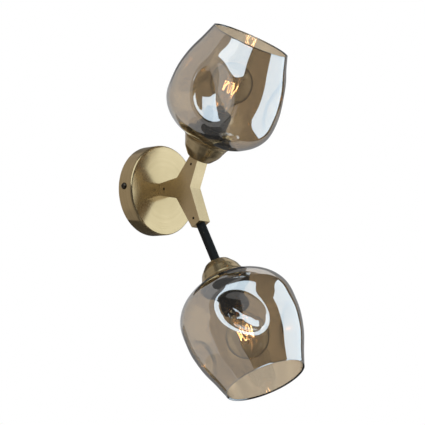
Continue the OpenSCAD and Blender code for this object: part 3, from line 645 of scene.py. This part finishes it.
def geometryTree(name, inputs):
    tree = bpy.data.node_groups.new(name, "GeometryNodeTree")
    tree.interface.new_socket("Geometry", in_out="INPUT", socket_type="NodeSocketGeometry")
    for label, value in inputs.items():
        kind = "NodeSocketInt" if isinstance(value, int) else "NodeSocketFloat"
        socket = tree.interface.new_socket(label, in_out="INPUT", socket_type=kind)
        socket.default_value = value
    tree.interface.new_socket("Geometry", in_out="OUTPUT", socket_type="NodeSocketGeometry")
    return tree, tree.nodes.new("NodeGroupInput"), tree.nodes.new("NodeGroupOutput")


def endTree(tree, geometry, end, material):
    real = result(tree, "GeometryNodeRealizeInstances", {"Geometry": geometry})
    final = result(tree, "GeometryNodeSetMaterial", {"Geometry": real, "Material": material})
    tree.links.new(final, end.inputs[0])


def pointPlace(tree):
    place = result(tree, "GeometryNodeInputPosition")
    return node(tree, "SeparateXYZ", {0: place}).outputs


def hypot2(tree, a, b):
    return math2(tree, "SQRT", timesPlus(tree, a, a, times(tree, b, b)))


def endScaled(tree, start, end, share, x, y, z, material):
    # Each point keeps its height and moves to a share of its distance from the axis
    moved = result(tree, "CombineXYZ", {
        0: times(tree, x, share), 1: times(tree, y, share), 2: z})
    shifted = result(tree, "GeometryNodeSetPosition", {"Geometry": start.outputs[0], "Position": moved})
    endTree(tree, shifted, end, material)


def runTree(piece, tree, values):
    modifier = piece.modifiers.new("nodes", "NODES")
    modifier.node_group = tree
    for item in tree.interface.items_tree:
        if item.in_out == "INPUT" and item.name in values:
            modifier[item.identifier] = values[item.name]
    takeResult(piece)


# Glass shades: a spun skin with three slanted dents pressed into it
shadeSettings = {
    "seatDiameter": 50, "diameter": 123.2, "mouthDiameter": 85, "height": 115.5, "widestHeight": 44,
    "wall": 1.8, "seatWall": 3.0, "hole": 30.7, "seatHeight": 23.97, "seatEdge": 1.0,
    "bead": 1.7, "beadOut": 0.35, "beadUp": 0.55, "beadSteps": 6,
    "lowShares": [(0, 0), (0.168, 0.023), (0.292, 0.063), (0.444, 0.131), (0.682, 0.285),
                  (0.863, 0.477), (0.973, 0.708), (1, 1)],
    "highShares": [(0.95, 0.246), (0.70, 0.523), (0.28, 0.80), (0, 1)],
    "segments": 240, "steps": 10, "angle": 60, "dents": 3, "reach": 1.6,
    # How the depth falls away from a dent's middle, at tenths of its half width
    "fall": [0.985, 0.943, 0.872, 0.790, 0.692, 0.576, 0.448, 0.280, 0.104, 0.018, 0.013, 0.016,
             0.017, 0.014, 0.008, 0.003, 0.0],
    "upper": {"Depth": 14.83, "Turn": 89.15, "Height": 59.25, "Across": 26.46, "Along": 39.87,
              "Slant": 33.75},
    "lower": {"Depth": 13.49, "Turn": 16.99, "Height": 60.62, "Across": 23.09, "Along": 33.87,
              "Slant": 43.90},
}


def shadeProfile(s):
    r0, r1, r2 = s["seatDiameter"] / 2, s["diameter"] / 2, s["mouthDiameter"] / 2
    low, high = s["widestHeight"], s["height"] - s["widestHeight"]
    points = [(r0 + (r1 - r0) * a, low * b) for a, b in s["lowShares"]]
    points += [(r2 + (r1 - r2) * a, low + high * b) for a, b in s["highShares"]]
    return smoothCurve(points, s["steps"])


def dentTree(s):
    tree, start, end = geometryTree("pressDents", {
        "Dents": 3, "Turn": 0.0, "Depth": 0.0, "Height": 0.0, "Across": 1.0, "Along": 1.0,
        "Slant": 0.0, "Face Radius": 1.0})
    value = start.outputs
    x, y, z = pointPlace(tree)
    half = math2(tree, "DIVIDE", math.pi, value["Dents"])
    angle = math2(tree, "SUBTRACT", math2(tree, "ARCTAN2", y, x), value["Turn"])
    angle = math2(tree, "WRAP", angle, half, times(tree, half, -1.0))
    aside = times(tree, angle, value["Face Radius"])
    rise = math2(tree, "SUBTRACT", z, value["Height"])
    cosine, sine = math2(tree, "COSINE", value["Slant"]), math2(tree, "SINE", value["Slant"])
    across = timesPlus(tree, cosine, aside, times(tree, sine, rise))
    along = math2(tree, "SUBTRACT", times(tree, cosine, rise),
                  times(tree, sine, aside))
    away = hypot2(tree, math2(tree, "DIVIDE", across, value["Across"]),
                  math2(tree, "DIVIDE", along, value["Along"]))
    curve = tree.nodes.new("ShaderNodeFloatCurve")
    points = curve.mapping.curves[0].points
    last = len(s["fall"]) - 1
    for k, fall in enumerate(s["fall"]):
        if k in (0, last):
            points[0 if k == 0 else -1].location = (k / last, fall)
        else:
            points.new(k / last, fall)
    for point in points:
        point.handle_type = "AUTO_CLAMPED"
    curve.mapping.update()
    tree.links.new(math2(tree, "DIVIDE", away, s["reach"]), curve.inputs["Value"])
    # The same shift for both skins keeps the wall's thickness
    shift = times(tree, curve.outputs[0], value["Depth"])
    share = math2(tree, "SUBTRACT", 1.0, math2(tree, "DIVIDE", shift, hypot2(tree, x, y)))
    endScaled(tree, start, end, share, x, y, z, materials["amberGlass"])
    return tree


def addShade(lamp, tree, s):
    outer = shadeProfile(s)
    inner = [p for p in inward(outer, s["wall"]) if p.y > s["seatWall"]]
    rimOut, rimIn = outer[-1], inner[-1]
    steps = s["beadSteps"]
    swell = [math.sin(math.pi * k / steps) for k in range(steps + 1)]
    bead = [rimOut + Vector((s["bead"] * s["beadOut"] * swell[k], 0))
            + (rimIn - rimOut) * k / steps + Vector((0, s["bead"] * s["beadUp"] * swell[k]))
            for k in range(1, steps)]
    hole = s["hole"] / 2
    profile = [Vector((hole, 0))] + outer + bead + list(reversed(inner))
    profile += [Vector((inner[0].x - s["seatEdge"], s["seatWall"])), Vector((hole, s["seatWall"]))]
    verts, faces = spin(profile, s["segments"])
    piece = addObject(lamp + "ShadeGlass", plainData(lamp + "ShadeGlass", verts, faces))
    dent = s[lamp]
    radius = next(a.x + (b.x - a.x) * (dent["Height"] - a.y) / (b.y - a.y)
                  for a, b in zip(outer, outer[1:]) if a.y <= dent["Height"] <= b.y)
    values = {key: dent[key] * mm for key in ("Depth", "Height", "Across", "Along")}
    values.update({"Dents": s["dents"], "Turn": math.radians(dent["Turn"]),
                   "Slant": math.radians(dent["Slant"]), "Face Radius": radius * mm})
    runTree(piece, tree, values)
    # Only the outer skin is coated like a mirror
    piece.data.materials.append(materials["amberInside"])
    coated = (len(outer) + len(bead)) * s["segments"]
    for face in piece.data.polygons:
        face.material_index = 0 if min(face.vertices) < coated else 1
    finishMesh(piece, lampPlace(lamp) @ Matrix.Translation((0, 0, s["seatHeight"] * mm)), s["angle"])
    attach(piece, lamp + "_lamp")
    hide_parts(lamp + "_shade")


pressDents = dentTree(shadeSettings)
for lamp in lampNames:
    addShade(lamp, pressDents, shadeSettings)
print("glass shades pressed")

# Canopy: a spun dish with a rounded front edge
canopySettings = {"radius": 50, "depth": 20, "wall": 1, "edge": 2.5, "rimEdge": 0.15, "bore": 5.05,
                  "boreRing": 2, "segments": 256, "angle": 40}


def addCanopy(s):
    r, d, w, e, rim = s["radius"], s["depth"], s["wall"], s["edge"], s["rimEdge"]
    profile = [(r - w + rim, 0), (r - rim, 0), (r, rim)] + quarter(r - e, d - e, e, 0, 90)
    profile += [(s["bore"] + s["boreRing"], d), (s["bore"], d), (s["bore"], d - w)]
    profile += quarter(r - e, d - e, e - w, 90, 0) + [(r - w, rim)]
    verts, faces = spin(profile, s["segments"])
    piece = addMesh("canopyDish", verts, faces, materials["canopyBrass"], outOfWall, s["angle"])
    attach(piece, "canopy_body")
    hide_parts("canopy")


addCanopy(canopySettings)
print("canopy spun")

# Arm bracket: one flat block with three arms, drilled for the tubes, the leads and the grub screws
bracketSettings = {
    "thickness": 16, "width": 13.4, "arms": [(59, 36), (180, 33.8), (-59, 48)],
    "corners": [(119.5, 12.9), (-119.5, 12.9), (0, 14.2)], "fillet": 1.3, "filletSteps": 5,
    "seatRadius": 5.05, "seatDepth": 14, "channelRadius": 3.6, "channelStart": 0.5, "grubRadius": 1.5,
    "grubFromEnd": 7.5, "overcut": 1, "bevel": 0.45, "bevelSteps": 3, "bevelAngle": 40,
    "seatSides": 64, "channelSides": 40, "grubSides": 32, "angle": 30,
}


def onPlane(angle, reach):
    a = math.radians(angle)
    return Vector((reach * math.cos(a), reach * math.sin(a)))


def inHub(p, x):
    # The outline's first axis points out of the wall and its second one up
    return Vector((x, layout["hub"][1] - p.x, p.y))


def bracketOutline(s):
    corners = []
    for index, (angle, reach) in enumerate(s["arms"]):
        along = onPlane(angle, 1)
        across = Vector((-along.y, along.x)) * s["width"] / 2
        corners += [(*(along * reach - across), 0), (*(along * reach + across), 0)]
        corners.append((*onPlane(*s["corners"][index]), s["fillet"]))
    return filleted(corners, s["filletSteps"])


def prism(outline, half):
    count = len(outline)
    verts = [inHub(p, -half) for p in outline] + [inHub(p, half) for p in outline]
    faces = [tuple(range(count)), tuple(reversed(range(count, 2 * count)))]
    faces += [(k, k + count, (k + 1) % count + count, (k + 1) % count) for k in range(count)]
    return verts, faces


def rodBetween(start, end, radius, segments):
    length = (end - start).length
    verts, faces = spin([(0, 0), (radius, 0), (radius, length), (0, length)], segments, closed=False)
    turn = (end - start).to_track_quat("Z", "Y").to_matrix()
    return [start + turn @ v for v in verts], faces


def cutAway(piece, cutters):
    for verts, faces in cutters:
        data = plainData("cutter", verts, faces)
        faceOutward(data, False)
        cutter = addObject("cutter", data)
        modifier = piece.modifiers.new("cut", "BOOLEAN")
        modifier.operation, modifier.solver, modifier.object = "DIFFERENCE", "EXACT", cutter
        takeResult(piece)
        bpy.data.objects.remove(cutter)


def addBracket(s):
    half, over = s["thickness"] / 2, s["overcut"]
    verts, faces = prism(bracketOutline(s), half)
    piece = addMesh("bracketBlock", verts, faces, materials["bracketBrass"], angle=180)
    cutters = []
    for angle, reach in s["arms"]:
        along = onPlane(angle, 1)
        seatAt = reach - s["seatDepth"]
        screw = inHub(along * (reach - s["grubFromEnd"]), -half - over)
        cutters.append(rodBetween(inHub(along * seatAt, 0), inHub(along * (reach + over), 0),
                                  s["seatRadius"], s["seatSides"]))
        cutters.append(rodBetween(inHub(along * s["channelStart"], 0), inHub(along * (seatAt + over), 0),
                                  s["channelRadius"], s["channelSides"]))
        cutters.append(rodBetween(screw, screw + Vector((half + over, 0, 0)),
                                  s["grubRadius"], s["grubSides"]))
    cutAway(piece, cutters)
    modifier = piece.modifiers.new("bevel", "BEVEL")
    modifier.width, modifier.segments = s["bevel"] * mm, s["bevelSteps"]
    modifier.limit_method, modifier.angle_limit = "ANGLE", math.radians(s["bevelAngle"])
    modifier.use_clamp_overlap = True
    takeResult(piece)
    finishMesh(piece, Matrix(), s["angle"])
    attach(piece, "arm_body")
    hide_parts("arm_bracket")


addBracket(bracketSettings)
print("arm bracket drilled and bevelled")


# Screws: copies of one small part on marked points, each turned to its point's direction
def copiesTree():
    tree, start, end = geometryTree("copies", {"Scale": 1.0})
    tree.interface.new_socket("Piece", in_out="INPUT", socket_type="NodeSocketObject")
    part = node(tree, "GeometryNodeObjectInfo", {"Object": start.outputs["Piece"]})
    way = node(tree, "GeometryNodeInputNamedAttribute", {"Name": "way"}, data_type="FLOAT_VECTOR")
    way = next(o for o in way.outputs if o.enabled and o.type == "VECTOR")
    turn = result(tree, "FunctionNodeAlignRotationToVector", {"Vector": way}, axis="Z")
    points = result(tree, "GeometryNodeMeshToPoints", {"Mesh": start.outputs["Geometry"]})
    placed = result(tree, "GeometryNodeInstanceOnPoints", {
        "Points": points, "Instance": part.outputs["Geometry"], "Rotation": turn,
        "Scale": start.outputs["Scale"]})
    endTree(tree, placed, end, materials["darkScrew"])
    return tree


def addCopies(name, tree, part, sink, points, body, replaced):
    part = addMesh(name + "Part", *part, materials["darkScrew"])
    cutAway(part, sink)
    data = plainData(name, [p for p, way in points], [])
    ways = data.attributes.new("way", "FLOAT_VECTOR", "POINT")
    for k, (p, way) in enumerate(points):
        ways.data[k].vector = way
    piece = addObject(name, data)
    runTree(piece, tree, {"Piece": part, "Scale": 1.0})
    bpy.data.objects.remove(part)
    finishMesh(piece, Matrix(), 35)
    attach(piece, body)
    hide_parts(replaced)


def boxMesh(x, y, low, high):
    sides = ((-1, -1), (1, -1), (1, 1), (-1, 1))
    verts = [Vector((sx * x / 2, sy * y / 2, z)) for z in (low, high) for sx, sy in sides]
    faces = [(3, 2, 1, 0), (4, 5, 6, 7), (0, 1, 5, 4), (1, 2, 6, 5), (2, 3, 7, 6), (3, 0, 4, 7)]
    return verts, faces


screwSettings = {"headRadius": 3.75, "headHeight": 2.8, "domeShare": 0.93, "domeSteps": 12, "rim": 0.5,
                 "shank": 1.95, "tip": 0.4, "length": 8, "out": 9, "recess": (0.9, 4.1, 1.2), "cutTo": 5,
                 "segments": 64}


def addSideScrews(tree, s):
    steps, head, tall = s["domeSteps"], s["headRadius"], s["headHeight"]
    dome = [(head * math.cos(a) * s["domeShare"], s["rim"] + (tall - s["rim"]) * math.sin(a))
            for a in (math.pi / 2 * k / steps for k in range(steps))]
    part = spin([(0, -s["length"]), (s["shank"] - s["tip"], -s["length"]),
                 (s["shank"], s["tip"] - s["length"]), (s["shank"], 0), (head, 0), (head, s["rim"])]
                + dome + [(0, tall)], s["segments"], closed=False)
    width, length, deep = s["recess"]
    cross = [boxMesh(length, width, tall - deep, s["cutTo"]), boxMesh(width, length, tall - deep, s["cutTo"])]
    points = [(Vector((side * canopySettings["radius"], -s["out"], 0)), Vector((side, 0, 0)))
              for side in (-1, 1)]
    addCopies("sideScrews", tree, part, cross, points, "canopy_body", "canopy_screws")


grubSettings = {"radius": 1.45, "top": -7.5, "bottom": -5.03, "key": 1.5, "depth": 1.2, "chamfer": 0.25,
                "segments": 40}


def addGrubScrews(tree, s):
    tall, r, c = s["bottom"] - s["top"], s["radius"], s["chamfer"]
    part = spin([(0, -tall), (r - c, -tall), (r, c - tall), (r, -c), (r - c, 0), (0, 0)], s["segments"],
                closed=False)
    corner = s["key"] / 2 / math.cos(math.pi / 6)
    hexagon = spin([(0, -s["depth"]), (corner, -s["depth"]), (corner, 1), (0, 1)], 6, closed=False)
    points = [(inHub(onPlane(a, r - bracketSettings["grubFromEnd"]), s["top"]), Vector((-1, 0, 0)))
              for a, r in bracketSettings["arms"]]
    addCopies("grubScrews", tree, part, [hexagon], points, "arm_body", "grub_screws")


copies = copiesTree()
addSideScrews(copies, screwSettings)
addGrubScrews(copies, grubSettings)
print("screws placed")

# Cups: spun bowls with a groove under a flared lip
cupSettings = {
    "base": 11.4, "rim": 27.2, "height": 23.2, "wall": 1.0, "bore": 5.05, "lipRise": 0.3, "lipSteps": 4,
    "segments": 160, "steps": 5, "angle": 40,
    "shares": [(0, 0), (0.125, 0.026), (0.31, 0.174), (0.55, 0.39), (0.68, 0.61), (0.80, 0.80),
               (0.82, 0.86), (0.865, 0.885), (0.90, 0.925), (1, 1)],
}


def addCup(lamp, s):
    points = [(s["base"] + (s["rim"] - s["base"]) * a, s["height"] * b) for a, b in s["shares"]]
    outer = smoothCurve(points, s["steps"])
    inner = [p for p in inward(outer, s["wall"]) if p.y >= s["wall"]]
    steps = s["lipSteps"]
    lip = [outer[-1] + (inner[-1] - outer[-1]) * k / steps
           + Vector((0, s["lipRise"] * math.sin(math.pi * k / steps))) for k in range(1, steps)]
    profile = [Vector((s["bore"], 0))] + outer + lip + list(reversed(inner))
    profile.append(Vector((s["bore"], s["wall"])))
    verts, faces = spin(profile, s["segments"])
    piece = addMesh(lamp + "CupBowl", verts, faces, materials[lamp + "Bronze"], lampPlace(lamp), s["angle"])
    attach(piece, lamp + "_lamp")
    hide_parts(lamp + "_cup")


for lamp in lampNames:
    addCup(lamp, cupSettings)
print("cups spun")

# Lower rod: a straight coated tube with chamfered ends, from its seat in the arm into the lower cup
rodSettings = {"radius": 5, "bore": 3.9, "play": 0.3, "end": 14, "chamfer": 0.5, "segments": 96,
               "angle": 30}


def addRod(s):
    r, bore, c, end = s["radius"], s["bore"], s["chamfer"], s["end"]
    arm = bracketSettings["arms"][2][1]
    start = s["play"] - bracketSettings["seatDepth"] - layout["lower"]["cupAt"] + arm
    profile = [(bore, start), (r - c, start), (r, start + c), (r, end - c), (r - c, end), (bore, end)]
    verts, faces = spin(profile, s["segments"])
    rod = addMesh("lowerRodTube", verts, faces, materials["blackSteel"], lampPlace("lower"), s["angle"])
    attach(rod, "lower_lamp")
    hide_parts("lower_rod")


addRod(rodSettings)


# Ridges on a spun part: a wave round and along the axis moves the skin in or out
def ridgeTree():
    tree, start, end = geometryTree("ridges", {
        "Count": 1, "Twist": 0.0, "Depth": 0.0, "Sharpness": 1.0, "Low": 0.0, "High": 1.0, "Inside": 0.0,
        "Fade": 0.001})
    value = start.outputs
    x, y, z = pointPlace(tree)
    angle = math2(tree, "ARCTAN2", y, x)
    phase = timesPlus(tree, angle, value["Count"], times(tree, z, value["Twist"]))
    wave = timesPlus(tree, math2(tree, "COSINE", phase), 0.5, 0.5)
    wave = math2(tree, "POWER", wave, value["Sharpness"])
    rising = result(tree, "MapRange", {
        "Value": z, "From Min": value["Low"], "From Max": math2(tree, "ADD", value["Low"], value["Fade"])})
    falling = result(tree, "MapRange", {
        "Value": z, "From Min": value["High"],
        "From Max": math2(tree, "SUBTRACT", value["High"], value["Fade"])})
    reach = hypot2(tree, x, y)
    there = math2(tree, "GREATER_THAN", reach, value["Inside"])
    there = times(tree, there, times(tree, rising, falling))
    shift = times(tree, times(tree, wave, there), value["Depth"])
    share = math2(tree, "ADD", 1.0, math2(tree, "DIVIDE", shift, math2(tree, "MAXIMUM", reach, 1e-5)))
    endScaled(tree, start, end, share, x, y, z, materials["bakelite"])
    return tree


def addRidged(name, tree, profile, s, values, lamp, replaced):
    verts, faces = spin(profile, s["segments"])
    piece = addMesh(name, verts, faces, materials["bakelite"], angle=180)
    runTree(piece, tree, values)
    finishMesh(piece, lampPlace(lamp), s["angle"])
    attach(piece, lamp + "_lamp")
    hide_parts(replaced)


holderSettings = {"radius": 14.5, "bore": 12.2, "foot": 22, "top": 57.5, "mouth": 9, "lip": 2, "edge": 1.2,
                  "mouthEdge": 0.4, "rowStep": 0.25, "pitch": 2, "thread": 0.5, "crest": 1.5,
                  "threadFrom": 1, "threadTo": 2.5, "fade": 2, "skin": 0.1, "segments": 96, "angle": 50}


def addSkirt(lamp, tree, s):
    r, top, e, c = s["radius"], s["top"], s["edge"], s["mouthEdge"]
    profile = evenly([(r, s["foot"]), (r, top - e)], s["rowStep"])
    profile += [Vector(p) for p in quarter(r - e, top - e, e, 10, 90, 6)]
    profile += [Vector(p) for p in (
        (s["mouth"] + c, top), (s["mouth"], top - c), (s["mouth"], top - s["lip"]),
        (s["bore"], top - s["lip"]), (s["bore"], s["foot"]))]
    addRidged(lamp + "HolderSkirt", tree, profile, s, {
        "Count": 1, "Twist": 2 * math.pi / (s["pitch"] * mm), "Depth": s["thread"] * mm,
        "Sharpness": s["crest"], "Low": (s["foot"] + s["threadFrom"]) * mm,
        "High": (top - s["threadTo"]) * mm, "Inside": (r - s["skin"]) * mm, "Fade": s["fade"] * mm,
    }, lamp, lamp + "_holder_skirt")


ringSettings = {"flange": 25.5, "thick": 2.5, "grip": 18, "gripHeight": 8, "bore": 15.05, "foot": 27.07,
                "flangeEdge": 0.6, "gripEdge": 0.8, "rowStep": 1.5, "notches": 24, "notchDepth": 0.7,
                "crest": 6.0, "notchFrom": 0.4, "notchTo": 20, "fade": 0.8, "skin": 1.2, "segments": 288,
                "angle": 40}


def addRing(lamp, tree, s):
    flange, grip, f, g = s["flange"], s["grip"], s["flangeEdge"], s["gripEdge"]
    z = s["foot"]
    low, high = z + s["thick"], z + s["thick"] + s["gripHeight"]
    profile = [(s["bore"], z), (flange - f, z), (flange, z + f), (flange, low - f), (flange - f, low),
               (grip + g, low), (grip, low + g), (grip, high - g), (grip - g, high), (s["bore"], high)]
    addRidged(lamp + "RingFlange", tree, evenly(profile, s["rowStep"]), s, {
        "Count": s["notches"], "Twist": 0.0, "Depth": -s["notchDepth"] * mm, "Sharpness": s["crest"],
        "Low": (low + s["notchFrom"]) * mm, "High": (z + s["notchTo"]) * mm,
        "Inside": (grip - s["skin"]) * mm, "Fade": s["fade"] * mm}, lamp, lamp + "_ring")


ridges = ridgeTree()
for lamp in lampNames:
    addSkirt(lamp, ridges, holderSettings)
    addRing(lamp, ridges, ringSettings)
print("holders ridged")

# Bulbs: a thin glass globe on a neck, and the glass stem inside it
bulbSettings = {
    "radius": 22.5, "wall": 0.8, "middle": 89.5, "neck": 7.85, "foot": 56, "capTop": 58, "collar": 4,
    "flare": 1.2, "low": 38.3, "lead": 12, "steps": 6, "rows": 48, "segments": 128, "angle": 60,
    # Radius, and height over the foot or depth under the top
    "stemFlare": [(6.85, 0), (6, 3), (3.45, 6), (2.3, 12)], "spine": [(1.55, 12.6), (1.15, 13.5)],
    "disc": [(1.15, 1.6), (2.6, 1), (3, 0.6), (3, 0.3), (2.6, 0), (0, 0)],
    "stemTop": 96.38, "stemSegments": 64,
}


def addBulb(lamp, s):
    neck, mid, r, wall = s["neck"], s["middle"], s["radius"], s["wall"]
    foot, low, rows = s["foot"], s["low"], s["rows"]
    start = smoothCurve([
        (neck, foot), (neck, s["capTop"]), (neck + s["flare"] * wall, s["capTop"] + s["collar"]),
        quarter(0, mid, r, -low - s["lead"], 90)[0], quarter(0, mid, r, -low, 90)[0]], s["steps"])
    outer = [tuple(p) for p in start[:-1]] + quarter(0, mid, r, -low, 90, rows)
    inner = [tuple(p) for p in inward(start, wall)[:-1]] + quarter(0, mid, r - wall, -low, 90, rows)
    outer[-1], inner[-1] = (0, mid + r), (0, mid + r - wall)
    verts, faces = spin(outer + list(reversed(inner)), s["segments"])
    piece = addMesh(lamp + "BulbGlobe", verts, faces, materials["clearGlass"], lampPlace(lamp), s["angle"])
    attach(piece, lamp + "_bulb")
    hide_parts(lamp + "_bulb_glass")
    flare = smoothCurve([(x, foot + up) for x, up in s["stemFlare"]], s["steps"])
    stem = [(0, foot)] + [tuple(p) for p in flare] + [(x, foot + up) for x, up in s["spine"]]
    stem += [(x, s["stemTop"] - down) for x, down in s["disc"]]
    verts, faces = spin(stem, s["stemSegments"], closed=False)
    piece = addMesh(lamp + "BulbStem", verts, faces, materials["clearGlass"], lampPlace(lamp), s["angle"])
    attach(piece, lamp + "_bulb")
    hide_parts(lamp + "_bulb_stem")


for lamp in lampNames:
    addBulb(lamp, bulbSettings)
print("bulbs blown")

# Filaments: one wire that goes up and down round the stem
filamentSettings = {"Hairpins": 6, "Sweep": 330.0, "Radius": 7.5, "Low": 74.38, "High": 95.38,
                    "Bend": 1.1, "Wire": 0.28, "bendSteps": 5, "wireSides": 8}


def filamentTree(s):
    tree, start, end = geometryTree("zigzag", {
        "Hairpins": 6, "Sweep": 1.0, "Radius": 1.0, "Low": 0.0, "High": 1.0, "Bend": 0.001, "Wire": 0.0002})
    value = start.outputs
    twice = times(tree, value["Hairpins"], 2.0)
    line = result(tree, "GeometryNodeMeshLine", {"Count": math2(tree, "ADD", twice, 1.0)})
    index = result(tree, "GeometryNodeInputIndex")
    angle = math2(tree, "DIVIDE", times(tree, index, value["Sweep"]), twice)
    rise = math2(tree, "SUBTRACT", value["High"], value["Low"])
    height = timesPlus(tree, math2(tree, "MODULO", index, 2.0), rise, value["Low"])
    at = result(tree, "CombineXYZ", {
        0: times(tree, math2(tree, "COSINE", angle), value["Radius"]),
        1: times(tree, math2(tree, "SINE", angle), value["Radius"]), 2: height})
    placed = result(tree, "GeometryNodeSetPosition", {"Geometry": line, "Position": at})
    path = result(tree, "GeometryNodeMeshToCurve", {"Mesh": placed})
    bent = result(tree, "GeometryNodeFilletCurve", {
        "Curve": path, 1: s["bendSteps"], "Radius": value["Bend"]}, mode="POLY")
    ring = result(tree, "GeometryNodeCurvePrimitiveCircle", {
        "Resolution": s["wireSides"], "Radius": value["Wire"]})
    wire = result(tree, "GeometryNodeCurveToMesh", {
        "Curve": bent, "Profile Curve": ring, "Fill Caps": True})
    endTree(tree, wire, end, materials["upperGlow"])
    return tree


def addFilament(lamp, tree, s):
    piece = addObject(lamp + "FilamentWire", bpy.data.meshes.new(lamp + "FilamentWire"))
    values = {key: s[key] * mm for key in ("Radius", "Low", "High", "Bend", "Wire")}
    values.update({"Hairpins": s["Hairpins"], "Sweep": math.radians(s["Sweep"])})
    runTree(piece, tree, values)
    piece.data.materials[0] = materials[lamp + "Glow"]
    finishMesh(piece, lampPlace(lamp), 180)
    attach(piece, lamp + "_bulb")
    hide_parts(lamp + "_filament")


zigzag = filamentTree(filamentSettings)
for lamp in lampNames:
    addFilament(lamp, zigzag, filamentSettings)
print("filaments wound")
